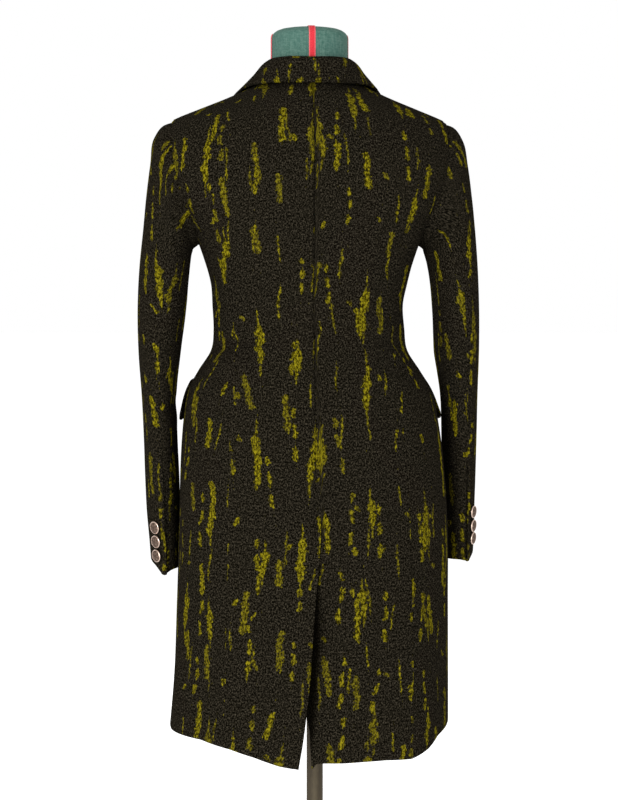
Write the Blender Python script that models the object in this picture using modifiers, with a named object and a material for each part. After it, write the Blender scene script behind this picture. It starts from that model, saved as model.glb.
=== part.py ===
"""A woman's tailored wool coat on a limbless dress form, standing on its post and base.

Metres, +Z up, with the origin on the floor under the post. The front faces -Y and the
wearer's left is +X. A turn is an angle round the body: 0 at the centre back, 90 at the
wearer's left side, -90 at the right side and 180 at the centre front.
"""
import math

import bmesh
import bpy
from mathutils import Vector

COAT = "wool_coat_on_form"

# Cloth thickness, the room at a seam, and the room between a piece and the panel it lies on
WALL = 0.0022
COLLAR_WALL = 0.0028
PANEL_COLUMNS = 8
SEAM = 0.0003
LAP = 0.0006

# Heights above the floor
FLOOR_TO_VENT_TOP = 0.803
UNDER_ARM_LEVEL = 1.17
ARMPIT = 1.198
SHOULDER_TIP = 1.368
NECKLINE = 1.42
SHOULDER_SEAM_TURN = 94

# The coat's outside, ring by ring. A ring is a rounded form, squarer as its roundness grows.
BODY_COLUMNS = ("height", "half_width", "back", "front", "roundness", "sway")
BODY_RINGS = [
    (0.500, 0.1945, 0.155, 0.157, 2.3, 0.000),
    (0.600, 0.1905, 0.150, 0.151, 2.3, -0.004),
    (0.700, 0.1890, 0.146, 0.145, 2.3, -0.005),
    (0.800, 0.1875, 0.142, 0.138, 2.3, -0.006),
    (0.900, 0.1830, 0.139, 0.132, 2.3, -0.004),
    (0.960, 0.1765, 0.135, 0.128, 2.3, -0.002),
    (0.992, 0.1700, 0.130, 0.124, 2.3, -0.001),
    (1.020, 0.1545, 0.124, 0.118, 2.3, 0.000),
    (1.048, 0.1370, 0.116, 0.112, 2.3, 0.000),
    (1.075, 0.1335, 0.109, 0.109, 2.3, 0.000),
    (1.110, 0.1330, 0.105, 0.110, 2.3, 0.002),
    (1.140, 0.1370, 0.105, 0.115, 2.3, 0.000),
    (1.170, 0.1450, 0.107, 0.121, 2.3, 0.000),
    (1.210, 0.1600, 0.111, 0.127, 2.4, 0.000),
    (1.250, 0.1830, 0.114, 0.128, 2.5, 0.000),
    (1.283, 0.1980, 0.116, 0.123, 2.5, 0.000),
    (1.316, 0.2040, 0.114, 0.112, 2.4, 0.000),
    (1.343, 0.2010, 0.109, 0.095, 2.2, 0.000),
    (1.362, 0.1940, 0.103, 0.082, 2.0, 0.000),
    (1.368, 0.1905, 0.101, 0.078, 1.9, 0.000),
    (1.384, 0.1520, 0.095, 0.068, 1.9, 0.000),
    (1.398, 0.1170, 0.089, 0.060, 1.9, 0.000),
    (1.410, 0.0900, 0.081, 0.055, 2.0, 0.000),
    (1.420, 0.0700, 0.074, 0.052, 2.0, 0.000),
]

# Lengthwise flutes of the skirt, deepest at the hem: turn, spread, depth and top
FLUTES = [
    (17, 10, 0.0035, 0.80),
    (52, 13, -0.0040, 0.82),
    (82, 11, 0.0030, 0.78),
    (-13, 9, -0.0030, 0.76),
    (-36, 12, 0.0050, 0.84),
    (-66, 12, -0.0040, 0.80),
    (128, 14, 0.0040, 0.80),
    (152, 11, -0.0035, 0.76),
    (-120, 13, 0.0040, 0.82),
    (-150, 12, -0.0030, 0.78),
]

FLUTE_FADE = 0.25

# Drag folds at the waist: turn, height, half length, spread, depth and rise for each degree
DRAGS = [
    (52, 1.062, 42, 0.013, -0.0040, 0.00022),
    (-60, 1.066, 30, 0.012, -0.0028, 0.00015),
    (40, 1.024, 30, 0.014, 0.0025, -0.00010),
]

# Seams between back and side panels, and between side and front panels, as turns
SEAM_COLUMNS = ("height", "back_turn", "front_turn")
SIDE_SEAMS = [
    (0.500, 38, 140),
    (0.800, 38, 139),
    (0.970, 39, 137),
    (1.048, 49, 130),
    (1.110, 53, 126),
    (1.170, 56, 122),
]

# The hem's height at each turn, all round
HEM_COLUMNS = ("turn", "height")
HEM_GUIDE = 0.519
HEM = [
    (-180, 0.519),
    (-120, 0.527),
    (-80, 0.529),
    (-62, 0.523),
    (-50, 0.512),
    (-38, 0.505),
    (-25, 0.507),
    (0, 0.505),
    (1, 0.498),
    (12, 0.504),
    (22, 0.514),
    (34, 0.522),
    (52, 0.528),
    (90, 0.527),
    (140, 0.522),
    (180, 0.519),
]

# Where the two back panels end at the centre back: the left one lies over the right one
VENT_COLUMNS = ("height", "over", "under")
VENT = [
    (0.498, 0.0290, 0.0030),
    (0.540, 0.0200, 0.0090),
    (0.600, 0.0145, 0.0240),
    (0.700, 0.0080, 0.0330),
    (0.789, 0.0010, 0.0350),
    (0.803, 0.0000, 0.0000),
]

# The inner edge of a front, measured from the centre front: an overlap below the break,
# the roll of the lapel above it, then the neckline up to the shoulder
BREAK = 1.12
EDGE_COLUMNS = ("height", "inner")
FRONT_EDGE = [
    (0.500, -0.0300),
    (1.120, -0.0300),
    (1.216, 0.0000),
    (1.378, 0.0500),
    (1.398, 0.0585),
    (1.410, 0.0625),
    (1.420, 0.0655),
]

# Heights of the points in the panels
SKIRT_ROWS = (0.545, 0.620, 0.700, 0.789, 0.803, 0.860, 0.915, 0.960, 0.992)
WAIST_ROWS = (1.020, 1.048, 1.075, 1.110, 1.140, 1.170)
SHOULDER_ROWS = (1.384, 1.398, 1.410, 1.420)

# The sleeve's stations after its seam: the left sleeve's outermost and innermost x, the
# right one's, the z of both points, then the middle's y and half the depth
SLEEVE_STATIONS = [
    (0.2165, 0.1610, 0.2165, 0.1610, 1.3430, 1.1900, -0.005, 0.066),
    (0.2215, 0.1625, 0.2235, 0.1625, 1.3080, 1.1860, -0.005, 0.067),
    (0.2268, 0.1640, 0.2290, 0.1640, 1.2650, 1.1810, -0.004, 0.066),
    (0.2312, 0.1655, 0.2335, 0.1670, 1.2180, 1.1700, -0.003, 0.064),
    (0.2365, 0.1680, 0.2375, 0.1715, 1.1650, 1.1450, -0.004, 0.062),
    (0.2392, 0.1720, 0.2400, 0.1755, 1.1050, 1.1000, -0.006, 0.059),
    (0.2380, 0.1790, 0.2405, 0.1785, 1.0450, 1.0450, -0.010, 0.057),
    (0.2337, 0.1850, 0.2392, 0.1880, 0.9850, 0.9850, -0.016, 0.055),
    (0.2309, 0.1835, 0.2392, 0.1910, 0.9250, 0.9250, -0.024, 0.052),
    (0.2290, 0.1808, 0.2388, 0.1925, 0.8650, 0.8650, -0.032, 0.050),
    (0.2268, 0.1800, 0.2384, 0.1935, 0.8200, 0.8200, -0.038, 0.048),
    (0.2235, 0.1797, 0.2388, 0.1940, 0.7850, 0.7850, -0.043, 0.047),
    (0.2210, 0.1795, 0.2378, 0.1940, 0.7500, 0.7460, -0.048, 0.046),
]

# How the arms turn the sleeves below the armhole, in degrees at the first station and at
# the cuff, and how far the cuff's outer side and its vent corner are off the level
SLEEVE_TURN = {1: (0, 5), -1: (-8, -15)}
CUFF_RISE = {1: 0.004, -1: 0.003}
CUFF_CORNER = {1: 0.009, -1: 0.005}
CUFF_TILT = 0.0048
HEAD_ROLL = 0.006
ARMHOLE_DEPTH = 0.062
SLEEVE_SIDES = 16
HIND_SEAM = 4
FORE_SEAM = 13
CUFF_VENT_STATIONS = 4
CUFF_VENT_LIFT = 0.0029
SLEEVE_FROM_SEAM = 0.0005

# The collar from the centre back round to the notch: where its stand meets the neckline,
# the crest of its fold, and the edge of its fall on the coat with its distance off the coat
COLLAR_COLUMNS = ("base_turn", "base_z", "fold_x", "fold_y", "fold_z", "edge_turn", "edge_z", "off")
COLLAR = [
    (0, 1.4200, 0.0000, 0.0740, 1.4495, 0, 1.4070, 0.0110),
    (30, 1.4200, 0.0300, 0.0680, 1.4505, 27, 1.4070, 0.0105),
    (58, 1.4200, 0.0490, 0.0500, 1.4508, 50, 1.4080, 0.0080),
    (80, 1.4200, 0.0572, 0.0290, 1.4500, 72, 1.4085, 0.0055),
    (98, 1.4200, 0.0582, 0.0080, 1.4462, 95, 1.4065, 0.0048),
    (110, 1.4190, 0.0580, -0.0160, 1.4385, 116, 1.3970, 0.0048),
    (122, 1.4060, 0.0570, -0.0370, 1.4235, 129, 1.3810, 0.0046),
    (132, 1.3940, 0.0545, -0.0560, 1.4040, 138, 1.3650, 0.0044),
    (142, 1.3790, 0.0500, -0.0740, 1.3810, 143, 1.3520, 0.0042),
]

# Lapels: where the roll starts on the upper and the under front, the point of each, the top
# of the roll and how far the roll stands off the front
LAPEL_START = {1: 1.226, -1: BREAK + 0.008}
LAPEL_TIP = (0.122, 1.331)
LAPEL_TOP = (0.0500, 1.3745)
LAPEL_BULGE = 0.016
LAPEL_OFF = 0.0034
LAPEL_ROLL = 0.0040
LAPEL_ROWS = 9

# Pocket flaps
FLAP_BACK_TURN = 95
FLAP_FRONT_TURN = 142
FLAP_TOP = 1.004
FLAP_RISE = 0.012
FLAP_DROP = 0.056
FLAP_OFF = 0.0029
FLAP_STAND = {1: 0.0038, -1: 0.0070}

# Buttons
CUFF_BUTTON_RADIUS = 0.00875
FRONT_BUTTON_RADIUS = 0.0125
SHANK = 0.0015
SHANK_RADIUS = 0.0026
BUTTON_ROOM = 0.0006
CUFF_BUTTON_HEIGHTS = {1: (0.802, 0.782, 0.762), -1: (0.820, 0.800, 0.782)}
CUFF_BUTTON_ANGLE = {1: 58, -1: 63}
FRONT_BUTTON_HEIGHTS = (1.095, 0.970, 0.845)

# The dress form, its tapes, the post and the base
FORM_BOTTOM = 0.800
FORM_SIDES = 24
FORM_LEVELS = (FORM_BOTTOM, 0.860, 0.930, 0.985, 1.030, 1.065, 1.105, 1.150, 1.200, 1.250, 1.300,
               1.335, 1.362)
FORM_SIDE_LIMIT = 0.175
FORM_ROOM_SHOULDER = 0.0017
FORM_ROOM_CHEST = 0.0060
FORM_ROOM_WAIST = 0.0070
NECK_HALF_WIDTH = 0.0532
NECK_HALF_DEPTH = 0.0520
NECK_Y = 0.012
NECK_ROOT = 1.432
NECK_FOOT = 1.445
NECK_TOP = 1.485
FORM_TOP = 1.4965
SIDE_TAPE_TURN = 86
TAPE_WIDTH = 0.0088
TAPE_THICK = 0.0008
POST_RADIUS = 0.0115
POST_X = -0.008
BASE_RADIUS = 0.185
BASE_THICK = 0.024


def column(table, names, name, at):
    """A column's value at a height or turn, on a smooth curve through the table's rows."""
    place = names.index(name)
    keys = [row[0] for row in table]
    values = [row[place] for row in table]
    at = min(max(at, keys[0]), keys[-1])
    last = len(keys) - 2
    i = 0
    while i < last and at > keys[i + 1]:
        i += 1

    def slope(k):
        low = max(k - 1, 0)
        high = min(k + 1, len(keys) - 1)
        return (values[high] - values[low]) / (keys[high] - keys[low])

    span = keys[i + 1] - keys[i]
    t = (at - keys[i]) / span
    a = values[i] * (2 * t ** 3 - 3 * t ** 2 + 1) + values[i + 1] * (3 * t ** 2 - 2 * t ** 3)
    b = slope(i) * (t ** 3 - 2 * t ** 2 + t) + slope(i + 1) * (t ** 3 - t ** 2)
    return a + b * span


def straight(table, names, name, at):
    """The same, on straight lines between the rows."""
    place = names.index(name)
    for low, high in zip(table, table[1:]):
        if at <= high[0]:
            t = max(0.0, (at - low[0]) / (high[0] - low[0]))
            return low[place] + t * (high[place] - low[place])
    return table[-1][place]


def soft(value):
    """0 below 0, 1 above 1, and a smooth step between."""
    t = min(max(value, 0.0), 1.0)
    return t * t * (3 - 2 * t)


def ring(turn, height):
    """A point of the coat's plain outside, before its flutes and folds."""
    half = column(BODY_RINGS, BODY_COLUMNS, "half_width", height)
    roundness = column(BODY_RINGS, BODY_COLUMNS, "roundness", height)
    sway = column(BODY_RINGS, BODY_COLUMNS, "sway", height)
    across = math.sin(math.radians(turn))
    along = math.cos(math.radians(turn))
    depth = column(BODY_RINGS, BODY_COLUMNS, "back" if along >= 0 else "front", height)
    x = half * math.copysign(abs(across) ** (2 / roundness), across)
    y = depth * math.copysign(abs(along) ** (2 / roundness), along)
    return Vector((x + sway, y, height))


def turn_at(x, height):
    """The turn on the front, 90 to 180 for x at or past 0, where the ring has this x."""
    half = column(BODY_RINGS, BODY_COLUMNS, "half_width", height)
    roundness = column(BODY_RINGS, BODY_COLUMNS, "roundness", height)
    share = min(abs(x) / half, 1.0) ** (roundness / 2)
    return 180 - math.copysign(math.degrees(math.asin(share)), x)


def outward(turn, height):
    """The direction straight out of the coat at this turn and height."""
    step = 0.5
    rise = 0.002
    low = min(height, NECKLINE - rise)
    around = ring(turn + step, height) - ring(turn - step, height)
    upward = ring(turn, low + rise) - ring(turn, low - rise)
    return upward.cross(around).normalized()


def relief(turn, height):
    """How far the flutes and drag folds move the cloth out at this place."""
    total = 0.0
    for centre, spread, depth, top in FLUTES:
        away = (turn - centre + 180) % 360 - 180
        total += depth * math.exp(-((away / spread) ** 2)) * soft((top - height) / FLUTE_FADE)
    for centre, level, half_length, spread, depth, rise in DRAGS:
        away = (turn - centre + 180) % 360 - 180
        if abs(away) < half_length:
            fade = math.cos(math.pi / 2 * away / half_length) ** 2
            off_line = height - level + rise * away
            total += depth * fade * math.exp(-((off_line / spread) ** 2))
    return total


def coat(turn, height, out=0.0):
    """A point of the coat's outside, or of a surface this far out from it."""
    return ring(turn, height) + outward(turn, height) * (out + relief(turn, height))


def armhole(side, step):
    """Turn and height of the armhole's edge. Step 0 is the shoulder tip, step 4 the back."""
    angle = 2 * math.pi * step / SLEEVE_SIDES
    middle = (SHOULDER_TIP + ARMPIT) / 2
    height = middle + (SHOULDER_TIP - ARMPIT) / 2 * math.cos(angle)
    tip_y = ring(SHOULDER_SEAM_TURN, SHOULDER_TIP).y
    y = tip_y + ARMHOLE_DEPTH * math.sin(angle)
    depth = column(BODY_RINGS, BODY_COLUMNS, "back" if y >= 0 else "front", height)
    roundness = column(BODY_RINGS, BODY_COLUMNS, "roundness", height)
    share = math.copysign((abs(y) / depth) ** (roundness / 2), y)
    return side * math.degrees(math.acos(share)), height


def material(name, colour, roughness, metallic=0.0):
    """A plain material for one kind of piece."""
    made = bpy.data.materials.get(name) or bpy.data.materials.new(name)
    made.use_nodes = True
    shader = made.node_tree.nodes["Principled BSDF"]
    shader.inputs["Base Color"].default_value = (*colour, 1.0)
    shader.inputs["Roughness"].default_value = roughness
    shader.inputs["Metallic"].default_value = metallic
    return made


def finish(name, mesh, look, smooth=True):
    """Put a finished mesh into the coat's collection under its name."""
    piece = bpy.data.objects.new(name, mesh)
    bpy.data.collections[COAT].objects.link(piece)
    mesh.materials.append(look)
    if smooth:
        mesh.shade_smooth()
        mesh.set_sharp_from_angle(angle=math.radians(40))
    return piece


def cloth_wall(name, outer, inner, look):
    """A wall between an outer and an inner sheet of points, closed at all four edges."""
    shape = bmesh.new()
    sheets = []
    for sheet in (outer, inner):
        sheets.append([[shape.verts.new(point) for point in row] for row in sheet])
    rows = len(outer)
    across = len(outer[0])
    for sheet in sheets:
        for i in range(rows - 1):
            for j in range(across - 1):
                shape.faces.new((sheet[i][j], sheet[i][j + 1], sheet[i + 1][j + 1], sheet[i + 1][j]))
    border = [(0, j) for j in range(across)] + [(i, across - 1) for i in range(1, rows)]
    border += [(rows - 1, j) for j in range(across - 2, -1, -1)]
    border += [(i, 0) for i in range(rows - 2, 0, -1)]
    front, back = sheets
    for here, there in zip(border, border[1:] + border[:1]):
        (i, j), (k, m) = sorted((here, there))
        shape.faces.new((front[i][j], front[k][m], back[k][m]))
        shape.faces.new((front[i][j], back[k][m], back[i][j]))
    bmesh.ops.recalc_face_normals(shape, faces=shape.faces)
    mesh = bpy.data.meshes.new(name)
    shape.to_mesh(mesh)
    shape.free()
    return finish(name, mesh, look)


def ease(sheet):
    """Draw a sheet's first and last points in by half of a seam's room, row by row."""
    eased = []
    for row in sheet:
        first = row[0] + (row[1] - row[0]).normalized() * SEAM / 2
        final = row[-1] + (row[-2] - row[-1]).normalized() * SEAM / 2
        eased.append([first, *row[1:-1], final])
    return eased


def panel(name, places, shift, look):
    """A panel of the coat from rows of (turn, height) places, moved out by shift(turn, height)."""
    outer = [[coat(t, h, shift(t, h)) for t, h in row] for row in places]
    inner = [[coat(t, h, shift(t, h) - WALL) for t, h in row] for row in places]
    return cloth_wall(name, ease(outer), ease(inner), look)


def hem_height(turn):
    """The hem's height at a turn."""
    return straight(HEM, HEM_COLUMNS, "height", turn)


def seam_edge(side, height, seam, step):
    """The turn of a panel's outer edge: side seam, armhole from this step, then shoulder seam."""
    if height > SHOULDER_TIP:
        return side * SHOULDER_SEAM_TURN
    if height <= UNDER_ARM_LEVEL:
        return side * column(SIDE_SEAMS, SEAM_COLUMNS, seam, height)
    low_turn = column(SIDE_SEAMS, SEAM_COLUMNS, seam, UNDER_ARM_LEVEL)
    top_turn, top = armhole(1, step)
    share = (height - UNDER_ARM_LEVEL) / (top - UNDER_ARM_LEVEL)
    return side * (low_turn + (top_turn - low_turn) * share)


def back_edge(side, height):
    """The turn of a back panel's outer edge."""
    return seam_edge(side, height, "back_turn", HIND_SEAM + 1)


def front_outer_edge(side, height):
    """The turn of a front's outer edge."""
    return seam_edge(side, height, "front_turn", SLEEVE_SIDES - HIND_SEAM - 1)


def panel_levels():
    """Heights of a back's or front's rows with the armhole step that each one meets, if any."""
    levels = [(height, None) for height in SKIRT_ROWS + WAIST_ROWS]
    seam_top = armhole(1, HIND_SEAM + 1)[1]
    for share in (1 / 3, 2 / 3):
        levels.append((UNDER_ARM_LEVEL + share * (seam_top - UNDER_ARM_LEVEL), None))
    for step in range(HIND_SEAM + 1, -1, -1):
        levels.append((armhole(1, step)[1], step))
    levels += [(height, None) for height in SHOULDER_ROWS]
    return levels


def spread(first, last, count):
    """Evenly spaced values from first to last."""
    return [first + (last - first) * k / (count - 1) for k in range(count)]


def row_of_places(turns, height):
    """One row of (turn, height) places."""
    return [(turn, height) for turn in turns]


def over_edge_turn(height):
    """The turn of the left back panel's edge, which lies over the vent."""
    reach = straight(VENT, VENT_COLUMNS, "over", height)
    return small_turn(reach, height)


def under_edge_turn(height):
    """The turn of the right back panel's edge, which lies under the vent."""
    reach = straight(VENT, VENT_COLUMNS, "under", height)
    return small_turn(reach, height)


def small_turn(x, height):
    """The turn near the centre back where the ring is x away from its middle."""
    half = column(BODY_RINGS, BODY_COLUMNS, "half_width", height)
    roundness = column(BODY_RINGS, BODY_COLUMNS, "roundness", height)
    return math.degrees(math.asin((x / half) ** (roundness / 2)))


def build_backs(look):
    """The two back panels, the left one lying over the right one below the seam."""
    vent_shift = WALL + LAP

    def under_shift(turn, height):
        near = 1 - soft((-turn - 1.0) / 9.0)
        below = 1 - soft((height - FLOOR_TO_VENT_TOP) / 0.05)
        return -vent_shift * near * below

    for name, side in (("back_left", 1), ("back_right", -1)):
        edge_turn = over_edge_turn if side > 0 else under_edge_turn
        hem_turns = back_row(side, edge_turn(0.0), HEM_GUIDE, None)
        places = [[(turn, hem_height(turn)) for turn in hem_turns]]
        for height, step in panel_levels():
            places.append(row_of_places(back_row(side, edge_turn(height), height, step), height))
        shift = under_shift if side < 0 else (lambda turn, height: 0.0)
        panel(name, places, shift, look)


def back_row(side, inner, height, step):
    """Turns of a back panel's row, from the centre back out to its seam or armhole."""
    edge = back_edge(side, height) if step is None else armhole(side, step)[0]
    if side > 0:
        return spread(inner, edge, PANEL_COLUMNS)
    return [inner] + spread(-1.0, edge, PANEL_COLUMNS - 1)


def build_sides(look):
    """The under-arm panels. Their top edges are the lowest part of the armholes."""
    steps = range(HIND_SEAM + 1, SLEEVE_SIDES - HIND_SEAM)
    for name, side in (("side_left", 1), ("side_right", -1)):
        columns = len(steps)
        places = []
        for height in (0.0, *SKIRT_ROWS, *WAIST_ROWS):
            turns = spread(back_edge(side, height), front_outer_edge(side, height), columns)
            places.append([(turn, height or hem_height(turn)) for turn in turns])
        tops = [armhole(side, step) for step in steps]
        for share in (1 / 3, 2 / 3, 1.0):
            row = []
            for (low_turn, low), (top_turn, top) in zip(places[len(WAIST_ROWS) + len(SKIRT_ROWS)], tops):
                row.append((low_turn + (top_turn - low_turn) * share, low + (top - low) * share))
            places.append(row)
        panel(name, places, lambda turn, height: 0.0, look)


def front_shift(side):
    """The left front lies under the right one, from the hem up to where they part."""
    def shift(turn, height):
        if side < 0:
            return 0.0
        near = soft((turn - 153) / 10)
        below = 1 - soft((height - 1.235) / 0.05)
        return -(WALL + LAP) * near * below
    return shift


def build_fronts(look):
    """The two fronts, lapped at the centre front and open above the break."""
    for name, side in (("front_left", 1), ("front_right", -1)):
        inner = side * turn_at(straight(FRONT_EDGE, EDGE_COLUMNS, "inner", HEM_GUIDE), HEM_GUIDE)
        turns = spread(front_outer_edge(side, HEM_GUIDE), inner, PANEL_COLUMNS)
        places = [[(turn, hem_height(min(turn * side, 180) * side)) for turn in turns]]
        for height, step in panel_levels():
            edge = front_outer_edge(side, height)
            if step is not None:
                edge = armhole(side, SLEEVE_SIDES - step)[0]
            inner = side * turn_at(straight(FRONT_EDGE, EDGE_COLUMNS, "inner", height), height)
            places.append(row_of_places(spread(edge, inner, PANEL_COLUMNS), height))
        panel(name, places, front_shift(side), look)


def build_lapels(look):
    """The lapels, turned back over the fronts from the roll line."""
    tip_x, tip_z = LAPEL_TIP
    top_x, top_z = LAPEL_TOP
    for name, side in (("lapel_left", 1), ("lapel_right", -1)):
        shift = front_shift(side)
        start = LAPEL_START[side]
        outer = []
        inner = []
        for k in range(LAPEL_ROWS):
            share = k / (LAPEL_ROWS - 1)
            roll_z = start + (top_z - start) * share
            roll_x = straight(FRONT_EDGE, EDGE_COLUMNS, "inner", roll_z) + 0.0008
            start_x = straight(FRONT_EDGE, EDGE_COLUMNS, "inner", start) + 0.005
            edge_x = start_x + (tip_x - start_x) * share + LAPEL_BULGE * math.sin(math.pi * share)
            edge_z = start + (tip_z - start) * share
            out_row = []
            in_row = []
            for m in range(5):
                across = m / 4
                x = roll_x + (edge_x - roll_x) * across
                z = roll_z + (edge_z - roll_z) * across
                turn = side * turn_at(x, z)
                off = LAPEL_OFF + LAPEL_ROLL * (1 - across) ** 2 + shift(turn, z)
                out_row.append(coat(turn, z, off))
                in_row.append(coat(turn, z, off - WALL))
            outer.append(out_row)
            inner.append(in_row)
        cloth_wall(name, outer, inner, look)


def collar_section(side, share):
    """Seven points of the collar's outside at a share of the way from centre back to notch."""
    place = share * (len(COLLAR) - 1)
    index = [(k, *row) for k, row in enumerate(COLLAR)]
    names = ("index", *COLLAR_COLUMNS)

    def at(name):
        return column(index, names, name, place)

    base_turn = at("base_turn")
    base_z = at("base_z")
    if base_turn > SHOULDER_SEAM_TURN:
        base_z = min(base_z, NECKLINE)
        edge = turn_at(straight(FRONT_EDGE, EDGE_COLUMNS, "inner", base_z), base_z)
        base_turn = base_turn + (edge - base_turn) * soft((NECKLINE - base_z) / 0.003)
    base = coat(side * base_turn, base_z, LAP)
    fold = Vector((side * at("fold_x"), at("fold_y"), at("fold_z")))
    edge = coat(side * at("edge_turn"), at("edge_z"), at("off"))
    crest = (fold - (base + edge) / 2).normalized()
    span = edge - base
    outside = (span - crest * span.dot(crest)).normalized()
    room = min(1.0, (fold - base).length / 0.02)
    slim = soft(base_turn / 60)
    round_off = (0.0042 - 0.0014 * slim) * room + 0.0024 * (1 - room)
    lean = base * 0.5 + fold * 0.5 - outside * 0.0032 * room
    near = fold - outside * round_off - crest * 0.0034
    far = fold + outside * round_off - crest * 0.0034
    fall = fold * 0.45 + edge * 0.55 + crest * 0.0010 + outside * 0.0010
    return [base, lean, near, fold, far, fall, edge]


def build_collar(look):
    """The collar, one wall turned over its fold, from notch round the back to notch."""
    sections = []
    count = 10
    for k in range(count, 0, -1):
        sections.append(collar_section(-1, k / count))
    for k in range(count + 1):
        sections.append(collar_section(1, k / count))
    rows = len(sections)
    inner = []
    for i, section in enumerate(sections):
        before = sections[max(i - 1, 0)]
        after = sections[min(i + 1, rows - 1)]
        row = []
        for j, point in enumerate(section):
            along = after[j] - before[j]
            across = section[min(j + 1, 6)] - section[max(j - 1, 0)]
            row.append(point + across.cross(along).normalized() * COLLAR_WALL)
        inner.append(row)
    cloth_wall("collar", sections, inner, look)


def sleeve_rings(side):
    """The sleeve's outside and inside, ring by ring from the armhole down to the cuff."""
    rings = []
    seam = []
    for step in range(SLEEVE_SIDES):
        turn, height = armhole(side, step)
        seam.append(coat(turn, height) + Vector((side * SLEEVE_FROM_SEAM, 0, 0)))
    rings.append(seam)
    last = len(SLEEVE_STATIONS) - 1
    first_turn, last_turn = SLEEVE_TURN[side]
    for k, station in enumerate(SLEEVE_STATIONS):
        outer_x, inner_x = station[0:2] if side > 0 else station[2:4]
        outer_z, inner_z, middle_y, half_depth = station[4:]
        near_cuff = soft((k - last + 3) / 3)
        made = []
        for step in range(SLEEVE_SIDES):
            twist = first_turn + (last_turn - first_turn) * k / last
            angle = math.radians(360 * step / SLEEVE_SIDES + twist * min(1.0, k / 2))
            x = (outer_x + inner_x) / 2 + (outer_x - inner_x) / 2 * math.cos(angle)
            z = (outer_z + inner_z) / 2 + (outer_z - inner_z) / 2 * math.cos(angle)
            y = middle_y + half_depth * math.sin(angle)
            if k == last:
                z -= CUFF_CORNER[side] * math.exp(-(((step - HIND_SEAM + 0.6) / 1.2) ** 2))
                z += CUFF_RISE[side] * max(0.0, math.cos(angle)) ** 1.5
            made.append(Vector((side * x, y, z - side * CUFF_TILT * near_cuff)))
        rings.append(made)
    head = []
    for step in range(SLEEVE_SIDES):
        roll = HEAD_ROLL * max(0.0, math.cos(2 * math.pi * step / SLEEVE_SIDES)) ** 1.5
        middle = seam[step].lerp(rings[1][step], 0.5)
        head.append(middle + Vector((side * 0.5, 0, 0.86)) * roll)
    rings.insert(1, head)
    inner = []
    for k, made in enumerate(rings):
        above = rings[max(k - 1, 0)]
        below = rings[min(k + 1, len(rings) - 1)]
        row = []
        for step, point in enumerate(made):
            around = made[(step + 1) % SLEEVE_SIDES] - made[step - 1]
            down = below[step] - above[step]
            normal = around.cross(down).normalized() * side
            row.append(point + normal * WALL)
        inner.append(row)
    return rings, inner


def build_sleeves(look):
    """Two-piece sleeves: the top piece over the arm and the under piece next to the body."""
    for word, side in (("left", 1), ("right", -1)):
        outer, inner = sleeve_rings(side)
        vent_from = len(outer) - CUFF_VENT_STATIONS
        top_steps = [step % SLEEVE_SIDES for step in range(FORE_SEAM, SLEEVE_SIDES + HIND_SEAM + 1)]
        under_steps = list(range(HIND_SEAM, FORE_SEAM + 1))
        for name, steps in (("sleeve_top_", top_steps), ("sleeve_under_", under_steps)):
            sheets = []
            for rings in (outer, inner):
                sheet = ease([[made[step] for step in steps] for made in rings])
                sheets.append(sheet)
            if name == "sleeve_top_":
                lap_vent(sheets, outer, inner, vent_from)
            cloth_wall(name + word, sheets[0], sheets[1], look)


def lap_vent(sheets, outer, inner, vent_from):
    """Lift the top piece's edge at the cuff's vent, clear of the under piece."""
    for k in range(vent_from, len(outer)):
        out = (outer[k][HIND_SEAM] - inner[k][HIND_SEAM]).normalized()
        lift = out * CUFF_VENT_LIFT
        for sheet in sheets:
            sheet[k][-1] = sheet[k][-1] + lift
            sheet[k][-2] = sheet[k][-2] + lift * 0.1


def build_flaps(look):
    """The hip pocket flaps, sewn on at their tops and standing off below."""
    for name, side in (("flap_left", 1), ("flap_right", -1)):
        outer = []
        inner = []
        for i in range(4):
            down = i / 3
            out_row = []
            in_row = []
            for j in range(6):
                share = j / 5
                turn = side * (FLAP_BACK_TURN + (FLAP_FRONT_TURN - FLAP_BACK_TURN) * share)
                height = FLAP_TOP + FLAP_RISE * share - FLAP_DROP * down
                stand = FLAP_STAND[side] * (1 - 0.55 * share) * down ** 1.4
                out_row.append(coat(turn, height, FLAP_OFF + stand))
                in_row.append(coat(turn, height, FLAP_OFF + stand - WALL))
            outer.append(out_row)
            inner.append(in_row)
        cloth_wall(name, outer, inner, look)


def turned(name, profile, place, direction, look, sides):
    """A turned piece: its profile spun round its own axis, set at a place to face a direction."""
    mesh = bpy.data.meshes.new(name)
    edges = [(k, k + 1) for k in range(len(profile) - 1)]
    mesh.from_pydata([(radius, 0.0, height) for radius, height in profile], edges, [])
    piece = finish(name, mesh, look, smooth=False)
    screw = piece.modifiers.new("Spin", "SCREW")
    screw.angle = math.radians(360)
    screw.steps = sides
    screw.render_steps = sides
    screw.use_merge_vertices = True
    screw.merge_threshold = 0.0001
    screw.use_smooth_shade = True
    piece.location = place
    piece.rotation_euler = Vector(direction).to_track_quat("Z", "Y").to_euler()
    return piece


def button_profile(radius):
    """A domed metal button on a short shank, from its top centre to its shank's end."""
    return [
        (0.0, radius * 0.52),
        (radius * 0.55, radius * 0.45),
        (radius * 0.92, radius * 0.30),
        (radius, radius * 0.16),
        (radius * 0.90, 0.0),
        (SHANK_RADIUS, 0.0),
        (SHANK_RADIUS, -SHANK),
        (0.0, -SHANK),
    ]


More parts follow.
